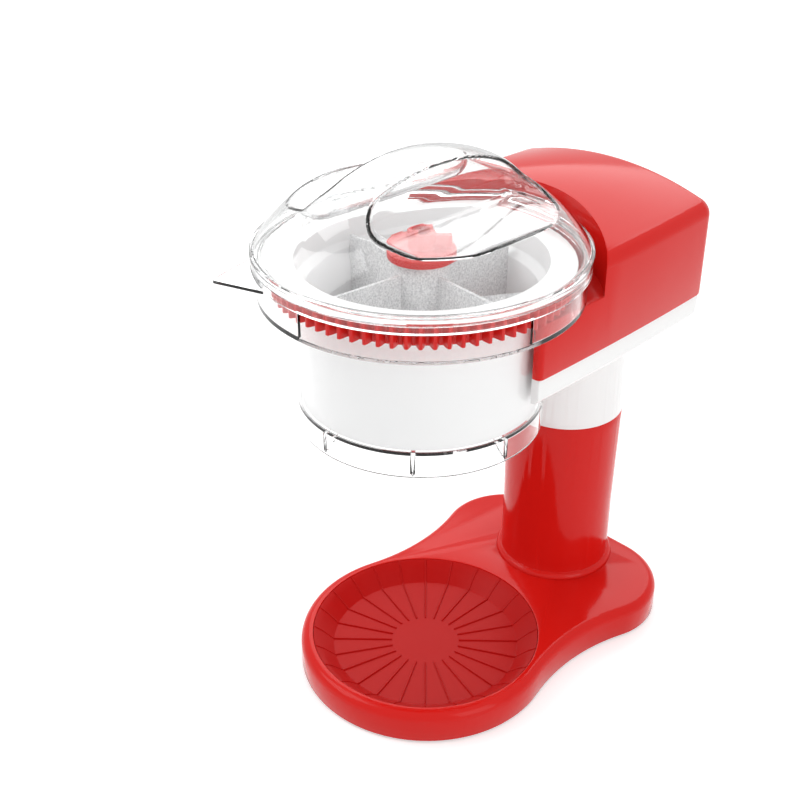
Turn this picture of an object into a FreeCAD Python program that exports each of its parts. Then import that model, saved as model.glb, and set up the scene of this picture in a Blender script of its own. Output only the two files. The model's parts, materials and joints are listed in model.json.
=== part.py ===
# Countertop ice shaver: a ring gear turns a drum of vanes over a fixed blade, and the
# shaved ice falls into a bowl on the drip tray. Millimetres, +Z up, -Y to the front.
# Every sub-part is drawn about the hopper's axis, and its Placement then moves it by
# hopper_y, so that the machine stands over the middle of its own footprint. The ring
# gear's module sets every radius of drum, hopper, lid and head.
import FreeCAD, Part
import Sketcher
import math
import os
import re
from FreeCAD import Placement, Rotation, Vector

doc = FreeCAD.newDocument("IceShaver")
sheet = doc.addObject("Spreadsheet::Sheet", "Sizes")

sizes = {
    # gaps and walls that several pieces share
    "rest_gap": 0.3,  # between pieces that rest on or slide past each other
    "running_gap": 0.05,  # radial, between a shaft and its bush
    "shell_wall": 2.6,  # coloured mouldings
    "clear_wall": 2.2,  # hopper and lid
    "boss_wall": 3.0,  # round every screw
    # base
    "foot_height": 2.0,
    "foot_radius": 8.0,
    "foot_sunk": 1.2,
    "foot_inset": 17.0,
    "foot_spread": 40.0,
    "foot_slope": 35.0,
    "base_height": 24.0,
    "base_edge_round": 7.5,
    "front_lobe_radius": 96.0,
    "front_lobe_y": 8.0,
    "rear_corner_radius": 56.0,
    "rear_corner_x": 42.5,
    "rear_corner_y": 152.8,
    "waist_radius": 165.0,
    "base_plate_thick": 2.5,
    "base_screw_inset": 6.8,
    "base_boss_height": 12.0,
    # drip tray
    "tray_margin": 9.5,  # from its rim out to the base's edge
    "tray_lip_width": 6.3,
    "tray_lip_drop": 4.5,
    "tray_slope_width": 7.2,
    "tray_depth": 15.0,
    "tray_wall": 2.0,
    "tray_rib_count": 24,
    "tray_rib_width": 1.2,
    "tray_rib_height": 1.0,
    "tray_rib_inner": 26.0,
    # column
    "column_set_back": 8.2,  # behind the base's rear corner centres
    "column_foot_width": 4.0,
    "column_foot_height": 4.5,
    "column_flare": 1.4,
    "column_waist": 80.0,
    "column_seam": 167.5,
    "column_wire_hole": 12.0,
    "column_screw_inset": 9.0,
    "column_boss_height": 14.0,
    "neck_height": 91.0,
    "neck_flare": 2.2,
    "neck_spigot": 10.0,
    "neck_flange_width": 9.5,
    # head
    "underside_height": 18.5,
    "shoulder_rise": 39.0,
    "cover_height": 81.0,
    "head_front_y": 14.0,
    "head_overhang": 45.0,  # behind the column's axis
    "head_arm_thick": 5.9,
    "head_taper": 6.3,
    "head_side_bulge": 1.8,
    "head_rear_bulge": 1.0,
    "head_corner_round": 14.0,
    "head_nose_round": 4.0,
    "head_lip_round": 2.0,
    "head_crown_radius": 265.0,
    "head_edge_round": 11.0,
    "underside_inset": 0.8,
    "underside_round": 6.0,
    "recess_gap": 1.3,
    "recess_spread": 8.0,  # from the lid out to the recess
    "pocket_gap": 2.4,
    "notch_gap": 5.6,  # in the hopper's ledge, which lifts past the pinion
    "head_screw_front_inset": 15.8,
    "head_screw_front_y": 62.0,
    "head_screw_rear_inset": 13.5,
    "head_screw_rear_y_inset": 24.0,
    "head_boss_height": 24.0,
    # hopper, sized from the ring gear inside it
    "draft": 1.0,  # widening of the bowl and the drum from bottom to ledge
    "bowl_step": 0.6,
    "bowl_depth": 77.7,
    "skirt_drop": 15.6,
    "ledge_thick": 2.4,
    "ledge_room": 5.2,
    "collar_lift": 17.9,
    "collar_height": 5.8,
    "collar_lip": 2.5,
    "window_start": -88.0,
    "window_angle": 81.0,
    "gusset_count": 8,
    "gusset_first": -48.0,
    "gusset_width": 2.6,
    "gusset_length": 17.0,
    "gusset_height": 13.0,
    "tab_length": 25.0,
    "tab_direction": -118.0,
    "tab_half_spread": 14.0,
    "tab_tip_half": 1.5,
    "tab_thick": 2.0,
    "chute_direction": -25.5,
    "chute_inner": 20.0,
    "chute_margin": 4.4,
    "chute_width": 9.0,
    "spindle_radius": 5.0,
    "spindle_boss_radius": 13.0,
    "spindle_boss_depth": 6.0,
    # blade
    "blade_width": 14.0,
    "blade_thick": 1.2,
    "blade_overhang": 3.0,
    "blade_bevel": 0.9,
    # drum
    "drum_gap": 4.0,
    "drum_wall": 2.0,
    "drum_rim_cover": 2.1,
    "drum_rim_drop": 2.8,
    "drum_rim_thick": 2.4,
    "hub_radius": 18.0,
    "hub_sleeve_radius": 7.8,
    "washer_thick": 1.5,
    "washer_radius": 12.0,
    "vane_count": 4,
    "vane_first": -5.0,
    "vane_thick": 2.4,
    "vane_drop": 9.6,
    "ramp_lip": 24.0,
    "ramp_drop": 38.0,
    "ramp_angle": 64.0,
    "ramp_thick": 2.4,
    # ring gear and the train that turns it
    "ring_module": 2.635,
    "ring_teeth": 72,
    "pinion_teeth": 16,
    "ring_width": 16.0,
    "ring_band": 7.4,
    "train_module": 1.25,
    "shaft_gear_teeth": 32,
    "idler_teeth": 28,
    "motor_teeth": 12,
    "train_width": 9.0,
    "gear_lift": 4.0,
    "gear_hub_radius": 7.0,
    "pinion_hub_radius": 9.0,
    "pressure_angle": 20.0,
    "tooth_backlash": 0.3,
    # knob on the hub
    "knob_radius": 22.5,
    "knob_thick": 5.0,
    "knob_boss_radius": 8.8,
    "knob_boss_height": 11.0,
    "knob_hole_radius": 5.5,
    "knob_spigot_radius": 12.0,
    "knob_spigot": 4.0,
    "knob_wing_reach": 19.5,
    "knob_wing_height": 9.0,
    "knob_wing_width": 6.0,
    "knob_direction": 46.0,
    # lid
    "lid_lip": 0.5,
    "lid_rim_height": 5.7,
    "dome_step": 1.8,
    "dome_rise": 56.5,
    "ridge_half_width": 60.0,
    "ridge_half_length": 88.0,
    "ridge_rise": 45.0,
    "ridge_lift": 60.1,
    "ridge_y": -3.0,
    "scoop_x": 48.5,
    "scoop_drop": 15.0,
    "scoop_half_width": 30.5,
    "scoop_half_length": 76.0,
    "scoop_half_depth": 19.0,
    "spigot_drop": 3.0,
    "spigot_gap": 0.6,
    # drive
    "gear_plate_thick": 2.5,
    "gear_plate_half_width": 34.0,
    "gear_plate_ahead": 18.0,
    "gear_plate_behind": 37.0,
    "bridge_lift": 18.0,
    "bridge_behind": 21.0,
    "shaft_radius": 4.0,
    "bush_wall": 2.0,
    "bush_flange": 1.5,
    "bush_flange_radius": 8.0,
    "seal_radius": 8.0,
    "seal_lip": 1.2,
    "stud_radius": 2.5,
    "idler_hub_radius": 5.0,
    "pillar_radius": 4.0,
    "pillar_inset": 6.0,
    "motor_radius": 30.0,
    "motor_length": 78.0,
    "motor_wall": 3.0,
    "motor_room": 3.7,
    "field_wall": 9.0,
    "air_gap": 1.0,
    "armature_length": 42.0,
    "motor_shaft_radius": 2.5,
    "motor_screw_x": 14.0,
    # fasteners
    "screw_radius": 1.5,
    "screw_head_radius": 3.0,
    "screw_head_height": 2.0,
    # switch and cord bushing at the back
    "switch_rise": 29.0,
    "switch_width": 21.0,
    "switch_tall": 15.0,
    "switch_depth": 18.0,
    "switch_bezel": 2.0,
    "switch_rim": 2.0,
    "rocker_gap": 0.5,
    "rocker_pin": 1.2,
    "rocker_sunk": 3.0,
    "rocker_tilt": 9.0,
    "bushing_radius": 5.0,
    "bushing_bore": 3.2,
    "bushing_flange": 1.5,
    "bushing_flange_radius": 6.5,
    "bushing_lift": 0.5,
}

for row, (alias, number) in enumerate(sizes.items(), start=1):
    sheet.set(f"A{row}", alias)
    sheet.set(f"B{row}", str(number))
    sheet.setAlias(f"B{row}", alias)
doc.recompute()

# places that follow from the sizes, kept in the same sheet
derived = {
    # round about the ring gear: drum, bowl, collar, lid
    "ring_pitch": "ring_module * ring_teeth / 2",
    "drum_rim_radius": "ring_pitch + ring_module + drum_rim_cover",
    "drum_top_radius": "ring_pitch - 1.25 * ring_module - ring_band",
    "hopper_low_radius": "drum_top_radius - bowl_step",
    "hopper_top_radius": "hopper_low_radius + draft",
    "drum_low_radius": "hopper_low_radius - clear_wall - drum_gap",
    "drum_radius": "drum_low_radius + draft",
    "ledge_radius": "drum_rim_radius + ledge_room + clear_wall",
    "collar_radius": "ledge_radius + collar_lip",
    "lid_radius": "collar_radius + lid_lip",
    "dome_radius": "lid_radius - dome_step",
    "tab_reach": "collar_radius + tab_length",
    "chute_outer": "drum_low_radius - chute_margin",
    "recess_low_radius": "hopper_top_radius + recess_gap",
    "recess_high_radius": "lid_radius + recess_spread",
    "head_front_half": "recess_low_radius + head_arm_thick",
    "head_rear_half": "head_front_half - head_taper",
    # base and tray
    "base_top": "foot_height + base_height",
    "plate_level": "foot_height + base_plate_thick",
    "front_foot_x": "(front_lobe_radius - foot_inset) * sin(foot_spread)",
    "front_foot_y": "front_lobe_y - (front_lobe_radius - foot_inset) * cos(foot_spread)",
    "rear_foot_x": "rear_corner_x + (rear_corner_radius - foot_inset) * cos(foot_slope)",
    "rear_foot_y": "rear_corner_y + (rear_corner_radius - foot_inset) * sin(foot_slope)",
    "front_screw_x": "(front_lobe_radius - base_screw_inset) * sin(2 * foot_spread)",
    "front_screw_y": "front_lobe_y - (front_lobe_radius - base_screw_inset) * cos(2 * foot_spread)",
    "base_rear_y": "rear_corner_y + rear_corner_radius",
    "rear_screw_y": "base_rear_y - base_screw_inset",
    "nose_screw_y": "front_lobe_y - front_lobe_radius + base_screw_inset",
    "tray_radius": "front_lobe_radius - tray_margin",
    "tray_floor_radius": "tray_radius - tray_lip_width - tray_slope_width",
    "tray_floor": "base_top - tray_depth",
    "bushing_height": "plate_level + bushing_flange_radius + bushing_lift",
    # column, built out from the motor that hangs in it
    "column_y": "rear_corner_y + column_set_back",
    "neck_inner_radius": "motor_radius + motor_room",
    "neck_top_radius": "neck_inner_radius + neck_flange_width",
    "neck_screw_ring": "neck_top_radius - shell_wall - screw_head_radius - rest_gap",
    "column_seam_radius": "neck_top_radius + neck_flare",
    "column_waist_radius": "column_seam_radius - column_flare",
    "column_foot_radius": "column_waist_radius + column_foot_width",
    "column_screw_ring": "column_waist_radius - column_screw_inset",
    "armature_radius": "motor_radius - motor_wall - field_wall - air_gap",
    # heights, from the column up
    "head_bottom": "column_seam + neck_height",
    "head_seam": "head_bottom + underside_height",
    "head_crest": "head_seam + cover_height",
    "shoulder_top": "head_seam + shoulder_rise",
    "ledge_bottom": "shoulder_top + rest_gap",
    "ledge_top": "ledge_bottom + ledge_thick",
    "collar_bottom": "ledge_top + collar_lift",
    "collar_top": "collar_bottom + collar_height",
    "hopper_floor": "ledge_bottom - bowl_depth",
    "hopper_bottom": "hopper_floor - skirt_drop",
    "floor_top": "hopper_floor + ledge_thick",
    "drum_bottom": "floor_top + washer_thick + rest_gap",
    "flare_top": "ledge_top + ledge_thick",
    "flare_inner_top": "ledge_top + 2 * ledge_thick",
    "drum_rim_top": "collar_top - drum_rim_drop",
    "vane_top": "drum_rim_top - vane_drop",
    "ramp_top": "vane_top - ramp_lip",
    "ring_top": "drum_rim_top - drum_rim_thick",
    "ring_bottom": "ring_top - ring_width",
    "hub_top": "drum_rim_top - drum_rim_thick / 2",
    "lid_bottom": "collar_top + rest_gap",
    "dome_bottom": "lid_bottom + lid_rim_height",
    "dome_sphere": "(dome_radius^2 + dome_rise^2) / (2 * dome_rise)",
    "dome_centre": "dome_bottom + dome_rise - dome_sphere",
    "ridge_top": "dome_bottom + ridge_lift",
    "switch_height": "head_seam + switch_rise",
    # head plan
    "head_rear_y": "column_y + head_overhang",
    "rear_wall_y": "head_rear_y + head_rear_bulge",
    "side_chord": "sqrt((head_front_half - head_rear_half)^2 + (head_rear_y - head_front_y)^2)",
    "side_arc": "(side_chord^2 / 4 + head_side_bulge^2) / (2 * head_side_bulge)",
    "rear_arc": "(head_rear_half^2 + head_rear_bulge^2) / (2 * head_rear_bulge)",
    "head_screw_front_x": "head_front_half - head_screw_front_inset",
    "head_screw_rear_x": "head_rear_half - head_screw_rear_inset",
    "head_screw_rear_y": "head_rear_y - head_screw_rear_y_inset",
    "rocker_y": "rear_wall_y + switch_bezel - rocker_sunk",
    # gear train, with the idler to one side of the line from shaft to motor
    "pinion_pitch": "ring_module * pinion_teeth / 2",
    "pinion_y": "ring_pitch + pinion_pitch",
    "pinion_top": "collar_bottom - 2 * rest_gap",
    "pocket_radius": "pinion_pitch + ring_module + pocket_gap",
    "notch_radius": "pinion_pitch + ring_module + notch_gap",
    "pocket_top": "ring_top + pocket_gap",
    "plate_bottom": "head_bottom + shell_wall",
    "plate_top": "plate_bottom + gear_plate_thick",
    "gear_plate_front": "pinion_y - gear_plate_ahead",
    "gear_plate_rear": "column_y + gear_plate_behind",
    "bridge_rear": "column_y + bridge_behind",
    "train_bottom": "plate_top + gear_lift",
    "train_top": "train_bottom + train_width",
    "bridge_bottom": "plate_top + bridge_lift",
    "shaft_gear_pitch": "train_module * shaft_gear_teeth / 2",
    "idler_pitch": "train_module * idler_teeth / 2",
    "motor_pitch": "train_module * motor_teeth / 2",
    "motor_gap": "column_y - pinion_y",
    "idler_near": "idler_pitch + motor_pitch",
    "idler_far": "idler_pitch + shaft_gear_pitch",
    "idler_back": "(motor_gap^2 + idler_near^2 - idler_far^2) / (2 * motor_gap)",
    "idler_x": "sqrt(idler_near^2 - idler_back^2)",
    "idler_y": "column_y - idler_back",
    # the machine's middle, halfway from the tab's tip to whatever reaches out furthest behind
    "front_reach": "tab_reach * sin(-1 * tab_direction) + tab_tip_half * abs(cos(tab_direction))",
    "rear_reach": "max(rear_wall_y + switch_bezel; base_rear_y + bushing_flange)",
    "hopper_y": "(front_reach - rear_reach) / 2",
}
for row, (alias, formula) in enumerate(derived.items(), start=len(sizes) + 1):
    sheet.set(f"A{row}", alias)
    sheet.set(f"B{row}", "=" + formula)
    sheet.setAlias(f"B{row}", alias)
doc.recompute()

known = set(sizes) | set(derived)
nodes = []


def linked(text):
    """An expression in the sheet's words, as other objects have to write it."""
    return re.sub(r"[a-z_]+", lambda word: "Sizes." + word[0] if word[0] in known else word[0], text)


def amount(text):
    """The present value of an expression in the sheet's words."""
    found = sheet.evalExpression(text)
    return float(getattr(found, "Value", found))


def bind(thing, **values):
    for name, text in values.items():
        thing.setExpression(name, linked(text))
    return thing


def put(thing, x="0", y="0", z="0"):
    for letter, text in (("x", x), ("y", y), ("z", z)):
        thing.setExpression("Placement.Base." + letter, linked(text))
    return thing


def turn(thing, text):
    """Turns a piece about its own upright axis by an angle from the sheet."""
    thing.Placement.Rotation = Rotation(Vector(0, 0, 1), 1)
    thing.setExpression("Placement.Rotation.Angle", linked(text))
    return thing


def cylinder(name, radius, height, x="0", y="0", z="0"):
    made = bind(doc.addObject("Part::Cylinder", name), Radius=radius, Height=height)
    return put(made, x, y, z)


def ball(name, radius, z):
    made = bind(doc.addObject("Part::Sphere", name), Radius=radius)
    return put(made, z=z)


def ellipsoid(name, half_x, half_y, half_z, x="0", y="0", z="0"):
    made = doc.addObject("Part::Ellipsoid", name)
    bind(made, Radius1=half_z, Radius2=half_x, Radius3=half_y)
    return put(made, x, y, z)


def box(name, along_x, along_y, along_z, x, y, z):
    made = bind(doc.addObject("Part::Box", name), Length=along_x, Width=along_y, Height=along_z)
    return put(made, x, y, z)


def cut(name, base, tool):
    made = doc.addObject("Part::Cut", name)
    made.Base = base
    made.Tool = tool
    return made


def common(name, first, second):
    made = doc.addObject("Part::Common", name)
    made.Base = first
    made.Tool = second
    return made


def fuse(name, *shapes):
    made = doc.addObject("Part::MultiFuse", name)
    made.Shapes = list(shapes)
    return made


def outline(sketch, points):
    """A closed outline. A point is (x, y), or (x, y, radius) where an arc leads on from it;
    a negative radius bulges to the left of the way along."""
    places = [(amount(point[0]), amount(point[1])) for point in points]
    ends = []
    for index, point in enumerate(points):
        here = Vector(*places[index], 0)
        there = Vector(*places[(index + 1) % len(points)], 0)
        if len(point) == 2:
            sketch.addGeometry(Part.LineSegment(here, there))
            ends.append((1, 2))
            continue
        radius = amount(point[2])
        chord = there - here
        left = Vector(-chord.y, chord.x, 0).normalize()
        side = 1 if radius > 0 else -1
        centre = (here + there) * 0.5 + left * side * math.sqrt(radius**2 - chord.Length**2 / 4)
        start, stop = (here, there) if side > 0 else (there, here)
        angles = [math.atan2(spot.y - centre.y, spot.x - centre.x) for spot in (start, stop)]
        circle = Part.Circle(centre, Vector(0, 0, 1), abs(radius))
        sketch.addGeometry(Part.ArcOfCircle(circle, angles[0], angles[1]))
        ends.append((1, 2) if side > 0 else (2, 1))
    for index, point in enumerate(points):
        after = (index + 1) % len(points)
        sketch.addConstraint(Sketcher.Constraint("Coincident", index, ends[index][1], after, ends[after][0]))
        for kind, text, number in zip(("DistanceX", "DistanceY"), point, places[index]):
            made = sketch.addConstraint(Sketcher.Constraint(kind, -1, 1, index, ends[index][0], number))
            sketch.setExpression(f"Constraints[{made}]", linked(text))
        if len(point) == 3:
            radius = abs(amount(point[2]))
            made = sketch.addConstraint(Sketcher.Constraint("Radius", index, radius))
            sketch.setExpression(f"Constraints[{made}]", linked("abs(" + point[2] + ")"))


def sketch_in(body, name, plane):
    sketch = body.newObject("Sketcher::SketchObject", name)
    origin = next(part for part in body.Origin.OriginFeatures if part.Role == plane)
    sketch.AttachmentSupport = (origin, [""])
    sketch.MapMode = "FlatFace"
    return sketch


def turned(name, *profile):
    """A body of revolution from a profile of (radius, height) points."""
    body = doc.addObject("PartDesign::Body", name)
    sketch = sketch_in(body, name + "_profile", "XZ_Plane")
    outline(sketch, profile)
    made = body.newObject("PartDesign::Revolution", name + "_turned")
    made.Profile = sketch
    made.ReferenceAxis = (sketch, ["V_Axis"])
    made.Angle = 360
    return body


def rib_pattern(body, name, profile, width, count, first):
    """Fins drawn on the XZ plane, spread evenly round the body's axis."""
    sketch = sketch_in(body, name + "_profile", "XZ_Plane")
    outline(sketch, profile)
    fin = bind(body.newObject("PartDesign::Pad", name), Length=width)
    fin.Profile = sketch
    fin.Midplane = True
    spread = body.newObject("PartDesign::PolarPattern", name + "_spread")
    spread.Originals = [fin]
    spread.Axis = (sketch, ["V_Axis"])
    spread.Angle = 360
    bind(spread, Occurrences=count)
    body.Tip = spread
    turn(body, first)
    return body


def raised(name, sketch_maker, low, height, *details):
    """An upright solid from a plan outline."""
    sketch = doc.addObject("Sketcher::SketchObject", name + "_plan")
    sketch_maker(sketch, *details)
    made = doc.addObject("Part::Extrusion", name)
    made.Base = sketch
    made.DirMode = "Custom"
    made.Dir = Vector(0, 0, 1)
    made.Solid = True
    bind(made, LengthFwd=height)
    return put(made, z=low)


def rounded(name, base, radius, wanted):
    """Rounds the edges of base that wanted() picks."""
    doc.recompute()
    made = doc.addObject("Part::Fillet", name)
    made.Base = base
    picked = [number for number, edge in enumerate(base.Shape.Edges, start=1) if wanted(edge)]
    made.Edges = [(number, radius, radius) for number in picked]
    return made


def kept(thing, name):
    """Names a finished sub-part and moves it to its place in the machine."""
    thing.Label = name
    thing.setExpression("Placement.Base.y", linked("hopper_y"))
    nodes.append(thing)
    return thing


def shaped(name, *solids):
    """A sub-part whose solids are worked out here, from the sheet's values."""
    made = doc.addObject("Part::Feature", name)
    made.Shape = Part.makeCompound(list(solids))
    return kept(made, name)


def at(x, y, z):
    return Vector(x, y, z)


def flat_at(edge, height):
    """True for an edge that lies all over at one height."""
    limits = edge.BoundBox
    return abs(limits.ZMin - height) < 0.01 and abs(limits.ZMax - height) < 0.01


# ---------------------------------------------------------------- base


def base_plan(sketch, inset):
    """Round front lobe, waisted sides and a rear lobe with two round corners."""
    front = Vector(0, amount("front_lobe_y"), 0)
    front_radius = amount("front_lobe_radius - " + inset)
    corner = Vector(amount("rear_corner_x"), amount("rear_corner_y"), 0)
    corner_radius = amount("rear_corner_radius - " + inset)
    waist_radius = amount("waist_radius + " + inset)
    reach = corner - front
    to_front = front_radius + waist_radius
    to_corner = corner_radius + waist_radius
    along = (reach.Length**2 + to_front**2 - to_corner**2) / (2 * reach.Length)
    out = math.sqrt(to_front**2 - along**2)
    unit = Vector(reach).normalize()
    waist = front + unit * along + Vector(unit.y, -unit.x, 0) * out
    up = Vector(0, 0, 1)

    def arc(centre, radius, start, stop):
        first = math.atan2(start.y, start.x)
        last = math.atan2(stop.y, stop.x)
        return sketch.addGeometry(Part.ArcOfCircle(Part.Circle(centre, up, radius), first, last))

    def flipped(spot):
        return Vector(-spot.x, spot.y, 0)

    front_arc = arc(front, front_radius, flipped(waist - front), waist - front)
    right_waist = arc(waist, waist_radius, corner - waist, front - waist)
    right_corner = arc(corner, corner_radius, waist - corner, Vector(0, 1, 0))
    left_corner = arc(flipped(corner), corner_radius, Vector(0, 1, 0), flipped(waist - corner))
    left_waist = arc(flipped(waist), waist_radius, flipped(front - waist), flipped(corner - waist))
    rise = Vector(0, corner_radius, 0)
    rear = sketch.addGeometry(Part.LineSegment(corner + rise, flipped(corner) + rise))
    joints = (
        (front_arc, 2, right_waist, 2),
        (right_waist, 1, right_corner, 1),
        (right_corner, 2, rear, 1),
        (rear, 2, left_corner, 1),
        (left_corner, 2, left_waist, 2),
        (left_waist, 1, front_arc, 1),
    )
    for joint in joints:
        sketch.addConstraint(Sketcher.Constraint("Tangent", *joint))
    radii = ((front_arc, "front_lobe_radius - "), (right_corner, "rear_corner_radius - "),
             (left_corner, "rear_corner_radius - "), (right_waist, "waist_radius + "),
             (left_waist, "waist_radius + "))
    for arc_number, text in radii:
        made = sketch.addConstraint(Sketcher.Constraint("Radius", arc_number, amount(text + inset)))
        sketch.setExpression(f"Constraints[{made}]", linked(text + inset))
    centres = ((front_arc, "0", "front_lobe_y"), (right_corner, "rear_corner_x", "rear_corner_y"),
               (left_corner, "-1 * rear_corner_x", "rear_corner_y"))
    for arc_number, across, along_y in centres:
        for kind, text in (("DistanceX", across), ("DistanceY", along_y)):
            made = sketch.addConstraint(Sketcher.Constraint(kind, -1, 1, arc_number, 3, amount(text)))
            sketch.setExpression(f"Constraints[{made}]", linked(text))


def screws(name, spots, seat, length, way):
    """Pan head screws with a cross recess; the heads' flat sides lie at seat, and the
    shanks point up (way 1) or down (way -1)."""
    radius = sheet.screw_radius
    head_radius = sheet.screw_head_radius
    head_height = sheet.screw_head_height
    made = []
    for across, along in spots:
        x, y, z = amount(across), amount(along), amount(seat)
        one = Part.makeCylinder(radius, amount(length), at(x, y, z), at(0, 0, way))
        one = one.fuse(Part.makeCylinder(head_radius, head_height, at(x, y, z), at(0, 0, -way)))
        middle = z - way * head_height
        for long_x, long_y in ((head_radius, radius / 2), (radius / 2, head_radius)):
            low = at(x - long_x / 2, y - long_y / 2, middle - head_height / 2)
            one = one.cut(Part.makeBox(long_x, long_y, head_height, low))
        made.append(one)
    return shaped(name, *made)


def mirrored(across, along):
    """Two spots, one on each side of the middle plane."""
    return [("-1 * " + across, along), (across, along)]


def around(ring, centre_y, first, count):
    """Spots on a ring about a point of the middle plane."""
    spots = []
    for number in range(count):
        turned_by = f"({first} + {360 / count * number})"
        spots.append((f"{ring} * cos({turned_by})", f"{centre_y} + {ring} * sin({turned_by})"))
    return spots


def columns(name, spots, radius, height, low):
    """One upright cylinder at each spot, to add or to cut away."""
    return [cylinder(f"{name}_{number}", radius, height, x, y, low) for number, (x, y) in enumerate(spots)]


base_screw_spots = [("0", "nose_screw_y")] + mirrored("front_screw_x", "front_screw_y")
base_screw_spots += mirrored("rear_corner_x", "rear_screw_y")
foot_spots = mirrored("front_foot_x", "front_foot_y") + mirrored("rear_foot_x", "rear_foot_y")
column_spots = around("column_screw_ring", "column_y", 45, 4)
neck_spots = around("neck_screw_ring", "column_y", 45, 4)
head_screw_spots = mirrored("head_screw_front_x", "head_screw_front_y")
head_screw_spots += mirrored("head_screw_rear_x", "head_screw_rear_y")
motor_spots = mirrored("motor_screw_x", "column_y")


def make_base_shell():
    plan = raised("base_block", base_plan, "foot_height", "base_height", "0")
    top = amount("base_top")
    block = rounded("base_round", plan, amount("base_edge_round"), lambda edge: flat_at(edge, top))
    hollow = raised("base_hollow", base_plan, "foot_height", "base_height - shell_wall", "shell_wall")
    well_side = turned(
        "well_side",
        ("0", "tray_floor - rest_gap - shell_wall"),
        ("tray_floor_radius + rest_gap + shell_wall", "tray_floor - rest_gap - shell_wall"),
        ("tray_radius + rest_gap + shell_wall", "base_top - tray_lip_drop - 2 * shell_wall"),
        ("tray_radius + rest_gap + shell_wall", "base_top"),
        ("0", "base_top"),
    )
    well = turned(
        "well",
        ("0", "tray_floor - rest_gap"),
        ("tray_floor_radius + rest_gap", "tray_floor - rest_gap"),
        ("tray_radius - tray_lip_width + rest_gap", "base_top - tray_lip_drop - tray_wall - rest_gap"),
        ("tray_radius + rest_gap", "base_top - tray_wall - 2 * rest_gap"),
        ("tray_radius + rest_gap", "base_top + tray_wall"),
        ("0", "base_top + tray_wall"),
    )
    for body in (well_side, well):
        put(body, y="front_lobe_y")
    room = cut("base_room", hollow, well_side)
    walls = cut("base_walls", block, room)
    bosses = columns("base_boss", base_screw_spots, "screw_radius + boss_wall", "base_boss_height",
                     "plate_level")
    inside = common("base_boss_inside", fuse("base_bosses", *bosses), raised(
        "base_boss_limit", base_plan, "foot_height", "base_height - shell_wall", "shell_wall / 2"))
    shell = cut("base_open", fuse("base_bossed", walls, inside), well)
    holes = columns("base_screw_hole", base_screw_spots, "screw_radius", "base_boss_height - rest_gap",
                    "plate_level")
    holes += columns("column_screw_hole", column_spots, "screw_radius + rest_gap", "3 * shell_wall",
                     "base_top - 2 * shell_wall")
    holes.append(cylinder("wire_hole", "column_wire_hole", "3 * shell_wall", "0", "column_y",
                          "base_top - 2 * shell_wall"))
    bushing_hole = lying_cylinder("bushing_hole", "bushing_radius", "3 * shell_wall",
                                  "base_rear_y - 2 * shell_wall", "bushing_height")
    return kept(cut("base_shell_solid", shell, fuse("base_holes", bushing_hole, *holes)), "base_shell")


def lying_cylinder(name, radius, length, y, z):
    """A cylinder on the middle plane that runs to the rear."""
    made = bind(doc.addObject("Part::Cylinder", name), Radius=radius, Height=length)
    made.Placement.Rotation = Rotation(Vector(1, 0, 0), -90)
    return put(made, y=y, z=z)


def make_base_plate():
    plate = raised("plate_block", base_plan, "foot_height", "base_plate_thick", "(shell_wall + rest_gap)")
    holes = columns("plate_screw_hole", base_screw_spots, "screw_radius + rest_gap", "2 * base_plate_thick",
                    "foot_height - foot_sunk")
    holes += columns("plate_head_seat", base_screw_spots, "screw_head_radius + rest_gap", "2 * foot_sunk",
                     "foot_height - foot_sunk")
    holes += columns("foot_seat", foot_spots, "foot_radius", "2 * foot_sunk", "foot_height - foot_sunk")
    kept(cut("base_plate_solid", plate, fuse("plate_holes", *holes)), "base_plate")


def make_feet():
    feet = []
    for across, along in foot_spots:
        low = at(amount(across), amount(along), 0)
        foot = Part.makeCylinder(sheet.foot_radius, sheet.foot_height + sheet.foot_sunk, low)
        edge = [edge for edge in foot.Edges if flat_at(edge, 0)]
        feet.append(foot.makeChamfer(sheet.foot_height / 4, edge))
    shaped("rubber_feet", *feet)


def make_drip_tray():
    """A dished tray: a sloping lip, a steeper wall and a flat floor under radial ribs."""
    tray = turned(
        "drip_tray_body",
        ("0", "tray_floor"),
        ("tray_floor_radius", "tray_floor"),
        ("tray_radius - tray_lip_width", "base_top - tray_lip_drop - tray_wall"),
        ("tray_radius", "base_top - rest_gap - tray_wall"),
        ("tray_radius", "base_top - rest_gap"),
        ("tray_radius - tray_lip_width", "base_top - tray_lip_drop"),
        ("tray_floor_radius - tray_wall", "tray_floor + tray_wall"),
        ("0", "tray_floor + tray_wall"),
    )
    ribs = (
        ("tray_rib_inner", "tray_floor + tray_wall / 2"),
        ("tray_floor_radius - tray_wall", "tray_floor + tray_wall / 2"),
        ("tray_radius - tray_lip_width", "base_top - tray_lip_drop - tray_wall / 2"),
        ("tray_radius - tray_rib_height", "base_top - rest_gap - tray_wall / 2"),
        ("tray_radius - tray_rib_height", "base_top - rest_gap"),
        ("tray_radius - tray_lip_width - tray_rib_height", "base_top - tray_lip_drop + tray_rib_height"),
        ("tray_floor_radius - tray_wall - tray_rib_height", "tray_floor + tray_wall + tray_rib_height"),
        ("tray_rib_inner", "tray_floor + tray_wall + tray_rib_height"),
    )
    rib_pattern(tray, "tray_rib", ribs, "tray_rib_width", "tray_rib_count", "tray_rib_width")
    kept(put(tray, z="0"), "drip_tray")
    tray.setExpression("Placement.Base.y", linked("hopper_y + front_lobe_y"))


# ---------------------------------------------------------------- column


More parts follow.
